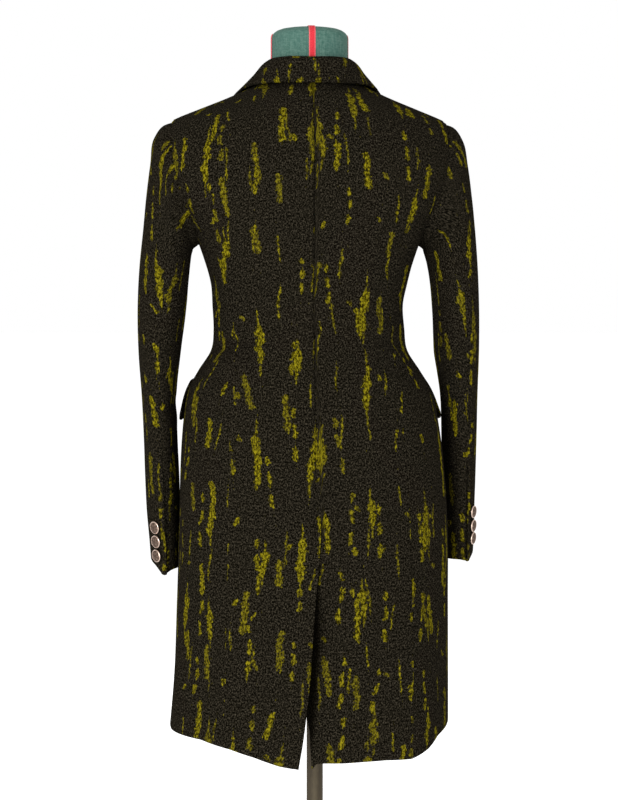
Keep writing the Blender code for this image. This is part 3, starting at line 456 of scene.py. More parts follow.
def wool_look():
    """Charcoal wool with a grey fleck and streaks woven in mustard yarn along the grain, darkened by
    painted shade where a piece stores it.
    """
    look = Looks("streaked_wool")
    across, up = look.on_cloth()

    def drawn_out(share, scale, detail, roughness=0.5):
        """Noise drawn out along the grain."""
        return look.noise(look.place(across, look.times(up, share)), scale, detail, roughness)

    flat = look.place(across, up)
    sway = look.noise(flat, 30.0, 1.0)[0]
    lumps, lump_colour = drawn_out(0.7, 170.0, 1.5)
    fibre = drawn_out(0.55, 430.0, 3.0, 0.7)[0]
    x = look.math("ADD", across, look.swing(sway, 0.008))
    y = look.math("ADD", up, look.swing(look.split(lump_colour)[1], 0.010))
    swelling = look.ramp(lumps, 0.28, 0.72, 0.55, 1.35)
    fray = look.swing(fibre, 0.0100)

    def layer(wide, tall, seed, density, kink, half_width):
        """One layer of streaks: a loose grid of cells, each with one streak or none."""
        column_at = look.math("ADD", look.math("DIVIDE", x, wide), seed * 7.31)
        column = look.math("FLOOR", column_at)
        slip = look.chance(look.place(column, seed, 3.7))[0]
        row_at = look.math("ADD", look.math("DIVIDE", y, tall), look.times(slip, 5.0))
        row = look.math("FLOOR", row_at)
        aside, above, luck = look.chance(look.place(column, row, seed))
        tilt, size, bent = look.chance(look.place(row, column, seed + 2.0))
        cell_x = look.swing(look.math("FRACT", column_at), wide)
        cell_y = look.swing(look.math("FRACT", row_at), tall)
        local_x = look.math("MULTIPLY_ADD", look.math("SUBTRACT", aside, 0.5), wide * 0.5, cell_x)
        local_y = look.math("MULTIPLY_ADD", look.math("SUBTRACT", above, 0.5), tall * 0.24, cell_y)
        local_x = look.math("MULTIPLY_ADD", look.swing(tilt, 0.26), local_y, local_x)
        turn_at = look.ramp(local_y, -0.005, 0.006, -0.5, 0.5)
        local_x = look.math("MULTIPLY_ADD", look.swing(bent, kink * 2), turn_at, local_x)
        local_y = look.math("DIVIDE", local_y, look.ramp(size, 0.0, 1.0, 0.75, 1.2))
        there = look.math("LESS_THAN", luck, density)
        strength = look.times(there, look.ramp(bent, 0.0, 0.6, 0.62, 1.0))
        reach = look.math("MULTIPLY_ADD", half_width(local_y), swelling, fray)
        inside = look.math("SUBTRACT", reach, look.math("ABSOLUTE", local_x))
        return look.times(look.ramp(inside, -0.0006, 0.0009), strength)

    def within(local_y, reach, fade):
        """1 inside this far from the middle of a streak, fading to 0 beyond."""
        return look.ramp(look.math("ABSOLUTE", local_y), reach - fade, reach, 1.0, 0.0)

    def less(value, gap):
        """A half width made a little less, so that nothing is left where it is small."""
        return look.math("SUBTRACT", value, gap)

    def lump(local_y, height, width, sharpness):
        """The half width of one lump at this height of a streak."""
        off = look.math("POWER", look.math("ABSOLUTE", less(local_y, height)), 2.4)
        return look.times(look.math("EXPONENT", look.times(off, -sharpness)), width)

    def clump(local_y):
        """Two ragged lumps side by side at different heights, with a fine tail each way."""
        upper = lump(local_y, 0.010, 0.0074, 22000.0)
        lower = lump(local_y, -0.009, 0.0066, 18000.0)
        tail = look.times(within(local_y, 0.048, 0.014), 0.0026)
        return less(look.math("MAXIMUM", look.math("MAXIMUM", upper, lower), tail), 0.0013)

    def ribbon(local_y):
        """A ragged ribbon of even width."""
        return less(look.times(within(local_y, 0.027, 0.006), 0.0058), 0.0016)

    def broken(local_y):
        """A thin streak that breaks off and starts again."""
        beat = look.math("ABSOLUTE", look.math("SINE", look.math("MULTIPLY_ADD", local_y, 125.0, 0.9)))
        width = look.math("MULTIPLY_ADD", look.ramp(beat, 0.25, 0.75), 0.0042, 0.0002)
        return less(look.times(width, within(local_y, 0.036, 0.006)), 0.0013)

    def hair(local_y):
        """A fine line of yarn."""
        return less(look.times(within(local_y, 0.024, 0.010), 0.0027), 0.0013)

    def speck(local_y):
        """A short hook of yarn."""
        return less(look.times(within(local_y, 0.007, 0.005), 0.0048), 0.0014)

    # width and height of a cell, seed, share of cells with a streak, kink, shape
    streaks = [
        (0.066, 0.140, 1.0, 0.66, 0.0060, clump), (0.046, 0.100, 2.0, 0.58, 0.0022, ribbon),
        (0.050, 0.104, 3.0, 0.64, 0.0050, broken), (0.036, 0.080, 4.0, 0.52, 0.0020, hair),
        (0.038, 0.056, 5.0, 0.26, 0.0070, speck),
    ]
    body = layer(*streaks[0])
    for row in streaks[1:]:
        body = look.math("MAXIMUM", body, layer(*row))

    ground_dark, ground_pale = (0.0006, 0.0005, 0.0003, 1), (0.045, 0.038, 0.026, 1)
    ground_hollow, ground_warm = (0.0012, 0.0010, 0.0006, 1), (0.008, 0.0065, 0.0024, 1)
    yarn_dark, yarn_bright = (0.012, 0.009, 0.0006, 1), (0.178, 0.150, 0.0060, 1)
    painted_shade_colour = (0.0008, 0.0006, 0.0003, 1)
    fleck = drawn_out(0.75, 520.0, 3.0, 0.75)[0]
    fine = look.noise(flat, 1500.0, 2.0, 0.6)[0]
    cloud = look.noise(flat, 130.0, 2.0)[0]
    warmth = look.noise(flat, 12.0, 1.0)[0]
    grain = look.math("MULTIPLY_ADD", fine, 0.15, look.times(fleck, 0.85))
    ground = look.mix(look.ramp(grain, 0.45, 0.66), ground_dark, ground_pale)
    ground = look.mix(look.ramp(cloud, 0.35, 0.7, 0.0, 0.30), ground, ground_hollow)
    ground = look.mix(look.times(warmth, 0.15), ground, ground_warm)
    thread = drawn_out(0.6, 370.0, 2.0, 0.75)[0]
    yarn = look.mix(look.ramp(thread, 0.39, 0.66), yarn_dark, yarn_bright)
    # Painted shade: where a piece stores it, the colour is darkened towards near black.
    colour = look.mix(look.stored("painted_shade"), look.mix(body, ground, yarn), painted_shade_colour)
    pile = look.math("ADD", look.times(grain, 0.8), look.times(body, 0.35))
    normal = look.bump(cloud, 0.0016, 0.5, look.bump(pile, 0.0012, 0.7))
    return look.dress(
        Base_Color=colour, Roughness=0.97, Normal=normal, Specular_IOR_Level=0.0,
        Sheen_Weight=0.004, Sheen_Roughness=0.5, Sheen_Tint=(0.62, 0.58, 0.50, 1.0),
    )


WOOL = wool_look()


def seam_turn(side, height, place, step):
    """The turn of a panel's outer edge: side seam, armhole, then shoulder seam."""
    seam = curve(SIDE_SEAMS, place, height)
    top_turn, top = armhole(1, step)
    low_turn = curve(SIDE_SEAMS, place, UNDER_ARM)
    slope = low_turn + (top_turn - low_turn) * (height - UNDER_ARM) / (top - UNDER_ARM)
    reach = np.clip((height - ARMHOLE_MIDDLE) / ARMHOLE_HALF_HEIGHT, -1, 1)
    near = np.degrees(np.arccos(reach)) / DEGREES_A_STEP
    hole = armhole(1, near if step < STEPS_ROUND / 2 else STEPS_ROUND - near)[0]
    turn = np.where(height <= UNDER_ARM, seam, np.where(height < top, slope, hole))
    return side * np.where(height > SHOULDER_TIP, SHOULDER_TURN, turn)


def small_turn(x, height):
    """The turn near the centre back where the ring is x away from its middle."""
    share = (x / curve(BODY, HALF_WIDTH, height)) ** (curve(BODY, ROUNDNESS, height) / 2)
    return np.degrees(np.arcsin(share))


def fan(first, last, places):
    """Turns from a first one to a last one, in a row for each height."""
    return first[:, None] + (last - first)[:, None] * places


def panel_rows(turns_at, columns_count, pitch):
    """Turns and heights of a body panel, from its hem up to the neckline."""
    levels = HEM_BLEND + (NECKLINE - HEM_BLEND) * shares(NECKLINE - HEM_BLEND, pitch)[FINE - 1:]
    hem_turns = turns_at(np.array([HEM_LEVEL]))
    bottom = straight(HEM, 1, hem_turns)
    first = shares(HEM_SPAN, pitch)[:-FINE, None]
    top_turns = turns_at(levels[:1])
    low_turn = hem_turns + (top_turns - hem_turns) * first
    low_height = bottom + (HEM_BLEND - bottom) * first
    turn = np.concatenate((low_turn[:-1], turns_at(levels)))
    height = np.concatenate((low_height[:-1], np.repeat(levels[:, None], columns_count, axis=1)))
    return turn, height


BACK_PITCH = 0.0042
BACK_SHARES = shares(0.175, BACK_PITCH)
UNDERLAP_COLUMNS = 11
UNDERLAP_TURN = -1.0
UNDERLAP_FADE = 9.0
# At the vent the left panel stands off and the right one sinks, both less towards its top
VENT_SPREAD = 0.022
VENT_STAND = 0.0050
VENT_SINK = 0.0060
VENT_FADE = 0.16
GROOVE = 0.0026
GROOVE_WIDTH = 0.0017
EDGE_DIP = 0.0010
EDGE_REACH = 0.0020
# The painted shade under the vent's lap: how dark it is, its width at the top and how much more low down
VENT_PAINTED_SHADE = 0.86
VENT_PAINTED_SHADE_WIDTH = 0.002
VENT_PAINTED_SHADE_GROWTH = 0.019
VENT_PAINTED_SHADE_RISE = 0.14
for name, side in (("back_left", 1), ("back_right", -1)):
    if side > 0:
        def turns_at(height):
            inner = small_turn(straight(VENT, 1, height), height)
            return fan(inner, seam_turn(1, height, *BACK_SEAM), BACK_SHARES)
        columns = len(BACK_SHARES)
    else:
        def turns_at(height):
            inner = small_turn(straight(VENT, 2, height), height)[:, None]
            outer = seam_turn(-1, height, *BACK_SEAM)[:, None]
            lap = inner + (UNDERLAP_TURN - inner) * np.linspace(0, 1, UNDERLAP_COLUMNS)[:-1]
            rest = UNDERLAP_TURN + (outer - UNDERLAP_TURN) * BACK_SHARES[FINE:]
            return np.concatenate((lap, rest), axis=1)
        columns = len(BACK_SHARES) - FINE + UNDERLAP_COLUMNS - 1
    turn, height = panel_rows(turns_at, columns, BACK_PITCH)
    x = ring(turn, height)[..., 0]
    below = soft((VENT_TOP - height) / VENT_FADE)
    above = soft((height - VENT_TOP + 0.01) / 0.02)
    edge_x = straight(VENT, 1, height)
    if side > 0:
        shift = VENT_STAND * below * bell(np.maximum(x - edge_x, 0), VENT_SPREAD)
        shift = shift - GROOVE * bell(x - edge_x, GROOVE_WIDTH) * above
        shift = shift - EDGE_DIP * bell(x - edge_x, EDGE_REACH)
        painted_shade = None
    else:
        near = 1 - soft((UNDERLAP_TURN - turn) / UNDERLAP_FADE)
        shift = -(WALL + LAP) * near * (1 - soft((height - VENT_TOP) / 0.05))
        shift = shift - VENT_SINK * below * bell(x + 0.004, VENT_SPREAD)
        shift = shift - GROOVE * bell(x + 0.0004, GROOVE_WIDTH) * above
        # Painted shadow: the right panel is darkened next to the left panel's edge below the vent's top,
        # widening downwards.
        deep = VENT_PAINTED_SHADE_WIDTH + VENT_PAINTED_SHADE_GROWTH * soft((VENT_TOP - height) / VENT_PAINTED_SHADE_RISE)
        painted_shade = VENT_PAINTED_SHADE * soft((deep - edge_x + x) / (0.45 * deep))
        painted_shade = painted_shade * soft((VENT_TOP + 0.004 - height) / 0.02)
    points = coat(turn, height, shift + hem_dip(turn, height))
    start = (0.0, 0.0) if side > 0 else (-0.0025, 0.0)
    middle = 0.0 if side > 0 else (UNDERLAP_COLUMNS - 1) / (columns - 1)
    cloth(name, points, outward(turn, height), WOOL, start=start, middle=middle, grain=side, painted_shade=painted_shade)

# The under-arm panels, one at each side. They are cut from the same wool with the streaks
# along the grain, run from the hem to the armhole and carry the shaping of the waist.
SIDE_WIDTH = 0.30
SIDE_PITCH = 0.0046
SIDE_SHARES = shares(SIDE_WIDTH, SIDE_PITCH)
for name, side in (("side_left", 1), ("side_right", -1)):
    def turns_at(height):
        behind, before = (seam_turn(side, height, *seam) for seam in (BACK_SEAM, FRONT_SEAM))
        return fan(behind, before, SIDE_SHARES)
    turn, height = panel_rows(turns_at, len(SIDE_SHARES), SIDE_PITCH)
    keep = height[:, 0] < UNDER_ARM
    turn = np.concatenate((turn[keep], turns_at(np.array([UNDER_ARM]))))
    height = np.concatenate((height[keep], np.full((1, len(SIDE_SHARES)), UNDER_ARM)))
    top_turn, top = armhole(side, BACK_SEAM[1] + (FRONT_SEAM[1] - BACK_SEAM[1]) * SIDE_SHARES)
    for share in shares(0.06, SIDE_PITCH)[FINE:]:
        turn = np.concatenate((turn, [turn[keep.sum()] * (1 - share) + top_turn * share]))
        height = np.concatenate((height, [UNDER_ARM * (1 - share) + top * share]))
    points = coat(turn, height, hem_dip(turn, height) + seam_dip(SIDE_SHARES, SIDE_WIDTH))
    cloth(name, points, outward(turn, height), WOOL, start=(0.31 * side + 0.02, 0.0), grain=side)

# The two fronts, lapped right over left and closed with three buttons. The edges are
# turned under and pressed, and above the break the front rolls back into the lapel.
# height, x of the edge
FRONT_EDGE = [
    (0.500, -0.0300), (1.120, -0.0300), (1.216, 0.0000), (1.378, 0.0500),
    (1.398, 0.0585), (1.410, 0.0625), (1.420, 0.0655),
]
BREAK = 1.12
LAP_TURN = 153
LAP_TOP = 1.235
FRONT_WIDTH = 0.17
FRONT_SHARES = shares(FRONT_WIDTH, SIDE_PITCH)


def front_turn(x, height):
    """The turn on the front, 90 to 180 for x at or past 0, where the ring has this x."""
    share = np.minimum(np.abs(x) / curve(BODY, HALF_WIDTH, height), 1.0)
    share = share ** (curve(BODY, ROUNDNESS, height) / 2)
    return 180 - np.copysign(np.degrees(np.arcsin(share)), x)


def front_shift(side, turn, height):
    """The left front lies under the right one, from the hem up to where they part."""
    if side < 0:
        return np.zeros(np.shape(turn))
    return -(WALL + LAP) * soft((turn - LAP_TURN) / 10) * (1 - soft((height - LAP_TOP) / 0.05))


for name, side in (("front_left", 1), ("front_right", -1)):
    def turns_at(height):
        inner = side * front_turn(straight(FRONT_EDGE, 1, height), height)
        return fan(seam_turn(side, height, *FRONT_SEAM), inner, FRONT_SHARES)
    turn, height = panel_rows(turns_at, len(FRONT_SHARES), SIDE_PITCH)
    over = turn * side > 180
    height = np.where(over & (height < HEM_BLEND), np.maximum(height, HEM_LEVEL), height)
    shift = front_shift(side, turn * side, height) + hem_dip(turn, height)
    points = coat(turn, height, shift + seam_dip(FRONT_SHARES, FRONT_WIDTH))
    cloth(name, points, outward(turn, height), WOOL, start=(0.62 * side, 0.07), middle=1.0, grain=side)

# The lapels: the top of each front turned back over the roll line and pressed soft.
# Each is one piece of the wool whose edge curls round into the front behind it.
LAPEL_TIP = (0.122, 1.331)
LAPEL_TOP = (0.0500, 1.3745)
LAPEL_START = {1: 1.226, -1: BREAK + 0.008}
LAPEL_BELLY = 0.016
LAPEL_OFF = 0.0034
LAPEL_STAND = 0.0040
ROLL = 0.0034
LAPEL_DOWN = shares(0.27, 0.004)
LAPEL_ACROSS = shares(0.08, 0.004)
CURL = np.linspace(0, 1, 9)[:-1]
for name, side in (("lapel_left", 1), ("lapel_right", -1)):
    first = LAPEL_START[side]
    share = LAPEL_DOWN[:, None]
    roll_z = first + (LAPEL_TOP[1] - first) * share
    roll_x = straight(FRONT_EDGE, 1, roll_z) + 0.0008
    start_x = straight(FRONT_EDGE, 1, first) + 0.005
    edge_x = start_x + (LAPEL_TIP[0] - start_x) * share + LAPEL_BELLY * np.sin(np.pi * share)
    edge_z = first + (LAPEL_TIP[1] - first) * share
    across = np.concatenate((np.zeros(len(CURL)), LAPEL_ACROSS))[None, :]
    bend = np.concatenate((CURL, np.ones(len(LAPEL_ACROSS))))[None, :]
    x = roll_x + (edge_x - roll_x) * across
    z = roll_z + (edge_z - roll_z) * across
    off = LAPEL_OFF + LAPEL_STAND * (1 - across) ** 2 + front_shift(side, front_turn(x, z), z)
    off = off - ROLL * (1 + np.cos(np.pi * bend))
    turn = side * front_turn(x - ROLL * np.sin(np.pi * bend), z)
    facing = outward(turn, z) * (across > 0.02)[..., None]
    cloth(name, coat(turn, z, off), facing, WOOL, start=(0.9 * side, 0.4))

# The collar: one piece that stands up at the neck, turns over its fold and falls on the
# coat. It is sewn to the neckline inside, and its edge is turned under and felled.
COLLAR_WALL = 0.0028
# turn and height of its seam, x, y and z of its fold, turn and height of its edge, off
COLLAR = [
    (0, 0, 1.4200, 0.0000, 0.0740, 1.4495, 0, 1.4070, 0.0110),
    (1, 30, 1.4200, 0.0300, 0.0680, 1.4505, 27, 1.4070, 0.0105),
    (2, 58, 1.4200, 0.0490, 0.0500, 1.4508, 50, 1.4080, 0.0080),
    (3, 80, 1.4200, 0.0572, 0.0290, 1.4500, 72, 1.4085, 0.0055),
    (4, 98, 1.4200, 0.0582, 0.0080, 1.4462, 95, 1.4065, 0.0048),
    (5, 110, 1.4190, 0.0580, -0.0160, 1.4385, 116, 1.3970, 0.0048),
    (6, 122, 1.4060, 0.0570, -0.0370, 1.4235, 129, 1.3810, 0.0046),
    (7, 132, 1.3940, 0.0545, -0.0560, 1.4040, 138, 1.3650, 0.0044),
    (8, 142, 1.3790, 0.0500, -0.0740, 1.3810, 143, 1.3520, 0.0042),
]


def through(points, count):
    """More points on a smooth curve through rows of a few, along the second axis."""
    steps = np.linalg.norm(np.diff(points, axis=1), axis=2).mean(axis=0)
    keys = np.concatenate(([0.0], np.cumsum(steps)))
    at = keys[-1] * shares(keys[-1], keys[-1] / count, 0.003)
    slopes = np.gradient(points, keys, axis=1)
    i = np.clip(np.searchsorted(keys, at) - 1, 0, len(keys) - 2)
    span = (keys[i + 1] - keys[i])[:, None]
    t = (at[:, None] - keys[i][:, None]) / span
    return between(points[:, i], points[:, i + 1], slopes[:, i], slopes[:, i + 1], t, span)


COLLAR_LENGTH = 0.62
FOLD_DROP = 0.0034
signed = shares(COLLAR_LENGTH, 0.0038) * 2 - 1
side = np.where(signed < 0, -1.0, 1.0)
place = np.abs(signed) * (len(COLLAR) - 1)
base_turn, base_z, fold_x, fold_y, fold_z, edge_turn, edge_z, off = (
    curve(COLLAR, number, place) for number in range(1, 9))
ahead = base_turn > SHOULDER_TURN
base_z = np.where(ahead, np.minimum(base_z, NECKLINE), base_z)
meet = front_turn(straight(FRONT_EDGE, 1, base_z), base_z)
base_turn = np.where(ahead, base_turn + (meet - base_turn) * soft((NECKLINE - base_z) / 0.003), base_turn)
base = coat(side * base_turn, base_z, LAP)
fold = np.stack((side * fold_x, fold_y, fold_z), axis=-1)
edge = coat(side * edge_turn, edge_z, off)
crest = unit(fold - (base + edge) / 2)
span = edge - base
outside = unit(span - crest * (span * crest).sum(axis=-1, keepdims=True))
room = np.minimum(1.0, np.linalg.norm(fold - base, axis=-1, keepdims=True) / 0.02)
slim = soft(base_turn / 60)[:, None]
round_off = (0.0042 - 0.0014 * slim) * room + 0.0024 * (1 - room)
lean = base * 0.5 + fold * 0.5 - outside * 0.0032 * room
near = fold - outside * round_off - crest * FOLD_DROP
far = fold + outside * round_off - crest * FOLD_DROP
fall = fold * 0.45 + edge * 0.55 + crest * 0.0010 + outside * 0.0010
profile = np.stack((edge, fall, far, fold, near, lean, base), axis=1)
points = through(profile, 34).transpose(1, 0, 2)
facing = np.cross(np.gradient(points, axis=0), np.gradient(points, axis=1))
away = points[4] - np.array([0.0, 0.0, 1.40])
if (facing[4] * away).sum() < 0:
    facing = -facing
cloth("collar", points, facing, WOOL, thick=COLLAR_WALL, start=(0.013, 1.41), edge=0.0010)

# The sleeves: two pieces each, a top one over the arm and an under one next to the body,
# set into the armhole with a little roll at the head and left open as a vent at the cuff.
# left sleeve's outermost and innermost x, the right one's, both points' z, middle y, half depth
STATIONS = [
    (0.2165, 0.1610, 0.2165, 0.1610, 1.3430, 1.1900, -0.005, 0.066),
    (0.2215, 0.1625, 0.2235, 0.1625, 1.3080, 1.1860, -0.005, 0.067),
    (0.2268, 0.1640, 0.2290, 0.1640, 1.2650, 1.1810, -0.004, 0.066),
    (0.2312, 0.1655, 0.2335, 0.1670, 1.2180, 1.1700, -0.003, 0.064),
    (0.2365, 0.1680, 0.2375, 0.1715, 1.1650, 1.1450, -0.004, 0.062),
    (0.2392, 0.1720, 0.2400, 0.1755, 1.1050, 1.1000, -0.006, 0.059),
    (0.2380, 0.1790, 0.2405, 0.1785, 1.0450, 1.0450, -0.010, 0.057),
    (0.2337, 0.1850, 0.2392, 0.1880, 0.9850, 0.9850, -0.016, 0.055),
    (0.2309, 0.1835, 0.2392, 0.1910, 0.9250, 0.9250, -0.024, 0.052),
    (0.2290, 0.1808, 0.2388, 0.1925, 0.8650, 0.8650, -0.032, 0.050),
    (0.2268, 0.1800, 0.2384, 0.1935, 0.8200, 0.8200, -0.038, 0.048),
    (0.2235, 0.1797, 0.2388, 0.1940, 0.7850, 0.7850, -0.043, 0.047),
    (0.2210, 0.1795, 0.2378, 0.1940, 0.7500, 0.7460, -0.048, 0.046),
]
# First and last twist in degrees, how far the cuff's outer side rises, how far its corner drops
SLEEVE_TURN = {1: (0, 5), -1: (-8, -15)}
CUFF_RISE = {1: 0.004, -1: 0.003}
CUFF_CORNER = {1: 0.009, -1: 0.005}
HIND_SEAM = 4
FORE_SEAM = 13
VENT_LEVEL = 11
SLEEVE_DROP = 0.0048
# The sleeve starts this far inside the armhole and this far in from its plane
HEAD_SINK = 0.0014
HEAD_INSET = 0.0036
HEAD_ROLL = 0.006
METRES_A_STEP = -0.0128
HIND_PLACE = 0.05
# Creases in metres round and up the sleeve: place, height, place, height, bow, width, depth
SLEEVE_CREASES = {
    1: [
        (0.030, 1.290, 0.048, 1.215, 0.004, 0.009, 0.0020),
        (0.010, 1.140, 0.052, 1.112, 0.003, 0.009, 0.0014),
        (0.020, 1.055, 0.064, 1.040, -0.003, 0.008, 0.0018),
        (0.030, 1.015, 0.070, 1.022, 0.003, 0.008, 0.0016),
        (-0.010, 0.980, 0.040, 0.955, 0.003, 0.010, 0.0016),
        (0.030, 0.900, 0.062, 0.880, 0.003, 0.010, 0.0012),
        (-0.060, 1.050, -0.020, 1.030, 0.003, 0.009, 0.0014),
    ],
    -1: [
        (0.030, 1.295, 0.050, 1.210, 0.004, 0.009, 0.0022),
        (0.016, 1.150, 0.056, 1.128, 0.003, 0.009, 0.0014),
        (0.010, 1.060, 0.060, 1.036, 0.003, 0.009, 0.0018),
        (0.034, 1.000, 0.070, 1.010, -0.003, 0.008, 0.0016),
        (0.000, 0.925, 0.050, 0.905, 0.003, 0.010, 0.0014),
        (-0.060, 1.040, -0.020, 1.020, 0.003, 0.009, 0.0014),
    ],
}


def sleeve_rings(side, step):
    """The sleeve's rings, from the armhole down to the cuff, at these steps round it."""
    angle = 2 * np.pi * step / STEPS_ROUND
    first = coat(*armhole(side, step), -HEAD_SINK) - np.array([side * HEAD_INSET, 0, 0])
    rings = [first]
    last = len(STATIONS) - 1
    first_turn, last_turn = SLEEVE_TURN[side]
    for k, station in enumerate(STATIONS):
        outer_x, inner_x = station[0:2] if side > 0 else station[2:4]
        outer_z, inner_z, middle_y, half_depth = station[4:]
        twist = (first_turn + (last_turn - first_turn) * k / last) * min(1.0, k / 2)
        turned = angle + math.radians(twist)
        x = (outer_x + inner_x) / 2 + (outer_x - inner_x) / 2 * np.cos(turned)
        z = (outer_z + inner_z) / 2 + (outer_z - inner_z) / 2 * np.cos(turned)
        y = middle_y + half_depth * np.sin(turned)
        z = z - side * SLEEVE_DROP * soft((k - last + 3) / 3)
        if k == last:
            z = z - CUFF_CORNER[side] * bell(step % STEPS_ROUND - HIND_SEAM + 0.6, 1.2)
            z = z + CUFF_RISE[side] * np.maximum(0.0, np.cos(turned)) ** 1.5
        rings.append(np.stack((side * x, y, z), axis=-1))
    roll = HEAD_ROLL * np.maximum(0.0, np.cos(angle)) ** 1.5
    head = (first + rings[1]) / 2 + np.array([side * 0.5, 0, 0.86]) * roll[:, None]
    return np.array([rings[0], head, *rings[1:]])


def sleeve(side, step, level):
    """Points of a sleeve and its outward directions, at steps round it and levels down it."""
    def at(steps):
        rings = sleeve_rings(side, steps)
        gaps = np.linalg.norm(np.diff(rings, axis=0), axis=2).mean(axis=1)
        slopes = np.gradient(rings, np.concatenate(([0.0], np.cumsum(gaps))), axis=0)
        i = np.clip(level.astype(int), 0, len(gaps) - 1)
        t = (level - i)[:, None, None]
        return between(rings[i], rings[i + 1], slopes[i], slopes[i + 1], t, gaps[i][:, None, None])
    points = at(step)
    around = at(step + 0.1) - at(step - 0.1)
    up = np.gradient(points, axis=0)
    out = unit(np.cross(around, up)) * side
    place = (step - HIND_SEAM) * METRES_A_STEP + HIND_PLACE
    creases = crease_depth(place[None, :], points[..., 2], SLEEVE_CREASES[side])
    return points + out * (creases * soft((level - 1.0) / 1.5)[:, None])[..., None], out


def sleeve_levels(pitch):
    """Levels from the cuff up to the armhole, closer together at both ends."""
    rings = sleeve_rings(1, np.array([2.0]))[:, 0]
    keys = np.concatenate(([0.0], np.cumsum(np.linalg.norm(np.diff(rings, axis=0), axis=1))))
    return np.interp(keys[-1] * shares(keys[-1], pitch), keys, np.arange(len(keys)))[::-1]


SLEEVE_PITCH = 0.0042
LEVELS = sleeve_levels(SLEEVE_PITCH)
# name, first and last step, width in metres
SLEEVE_PARTS = [("top", FORE_SEAM - STEPS_ROUND, HIND_SEAM, 0.10), ("under", HIND_SEAM, FORE_SEAM, 0.11)]
# At the vent the under piece reaches this many steps past the seam, over a bend of this many
UNDERLAP = 0.9
UNDERLAP_BEND = 1.6
TOP_STAND = 0.0030
UNDER_SINK = 0.0008
# How far the cloth dips at the cuff's turned edge and at the armhole, and over how many levels
CUFF_DIP, CUFF_REACH = 0.0012, 0.06
HEAD_DIP, HEAD_REACH = 0.0010, 0.18
# Painted shade along the armhole seam, where the sleeve tucks under the body: how dark it is, and over how
# many levels it fades
ARMHOLE_PAINTED_SHADE, ARMHOLE_PAINTED_SHADE_REACH = 0.78, 0.20
for word, side in (("left", 1), ("right", -1)):
    for part, low, high, wide in SLEEVE_PARTS:
        places = shares(wide, SLEEVE_PITCH)
        step = low + (high - low) * places
        points, out = sleeve(side, step, LEVELS)
        open_part = soft((LEVELS - VENT_LEVEL + 0.6) / 0.6)[:, None]
        lapped = soft((HIND_SEAM + UNDERLAP_BEND - step) / UNDERLAP_BEND)
        if part == "under":
            moved = sleeve(side, step - UNDERLAP * lapped, LEVELS)[0]
            points = points + (moved - points) * open_part[..., None]
        shift = seam_dip(places, wide)[None, :] * (1 - open_part)
        shift = shift - CUFF_DIP * bell(LEVELS - LEVELS[0], CUFF_REACH)[:, None]
        shift = shift - HEAD_DIP * bell(LEVELS, HEAD_REACH)[:, None]
        if part == "top":
            shift = shift + TOP_STAND * open_part * soft((step - HIND_SEAM + 1.1) / 0.8)[None, :]
        else:
            shift = shift - UNDER_SINK * open_part * lapped[None, :]
        points = points + out * shift[..., None]
        start = (0.05 + 0.23 * side + (0.4 if part == "under" else 0.0), 0.03)
        # Painted shade darkens the sleeve's colour towards the armhole seam.
        painted_shade = ARMHOLE_PAINTED_SHADE * bell(LEVELS, ARMHOLE_PAINTED_SHADE_REACH)[:, None] * np.ones(len(places))
        cloth("sleeve_%s_%s" % (part, word), points, out, WOOL, start=start, painted_shade=painted_shade)

# The hip pocket flaps, two layers of the wool sewn into a slit along their tops. They
# stand off the coat below, with the lower corners a little rounded.
FLAP_LENGTH = 0.12
FLAP_DEPTH = 0.056
FLAP_CORNER = 0.010
FLAP_TURN = 95
FLAP_SPREAD = 47
FLAP_TOP = 1.004
FLAP_RISE = 0.012
FLAP_OFF = 0.0029
FLAP_STAND = {1: 0.0038, -1: 0.0070}
for name, side in (("flap_left", 1), ("flap_right", -1)):
    down = shares(FLAP_DEPTH, 0.0035)[::-1, None]
    share = shares(FLAP_LENGTH, 0.004)[None, :]
    into_corner = np.maximum(FLAP_CORNER - np.minimum(share, 1 - share) * FLAP_LENGTH, 0)
    rise = FLAP_CORNER - np.sqrt(np.maximum(FLAP_CORNER ** 2 - into_corner ** 2, 0))
    turn = side * (FLAP_TURN + FLAP_SPREAD * share) + 0 * down
    height = FLAP_TOP + FLAP_RISE * share - (FLAP_DEPTH - rise) * down
    stand = FLAP_STAND[side] * (1 - 0.55 * share) * down ** 1.4
    points = coat(turn, height, FLAP_OFF + stand)
    cloth(name, points, outward(turn, height), WOOL, start=(0.17 * side, 0.9), edge=0.0009)

# The buttons: domed metal pressed with petals round a middle boss, on a short shank.
# Three close the front and three sit beside each cuff's vent.
SHANK = 0.0015
BUTTON_ROOM = 0.0006
BUTTON_SIDES = 48
# Share of the radius, and what the ring of points there belongs to
BUTTON_PROFILE = [
    (0.10, "boss"), (0.22, "boss"), (0.30, "petals"), (0.42, "petals"), (0.56, "petals"),
    (0.70, "petals"), (0.80, "petals"), (0.86, "groove"), (0.92, "face"), (0.97, "face"),
    (1.00, "face"), (1.00, "rim"), (0.93, "back"), (0.30, "back"), (0.30, "shank"),
]
# How far these lie below the dome, in radii
LOWERED = {"boss": 0.090, "groove": 0.075}


def metal_look():
    """Pale warm metal, worn bright on its raised parts and dark in its hollows."""
    look = Looks("button_metal")
    source = look.on_object()
    dirt = look.noise(source, 900.0, 3.0)[0]
    dark = look.times(look.stored("hollow"), look.ramp(dirt, 0.2, 0.7, 0.78, 1.0))
    colour = look.mix(dark, (0.66, 0.50, 0.41, 1), (0.050, 0.030, 0.020, 1))
    rough = look.math("MULTIPLY_ADD", dark, 0.35, 0.32)
    scratch = look.noise(source, 2600.0, 2.0)[0]
    normal = look.bump(scratch, 0.0002, 0.25)
    return look.dress(Base_Color=colour, Metallic=1.0, Roughness=rough, Normal=normal)


METAL = metal_look()


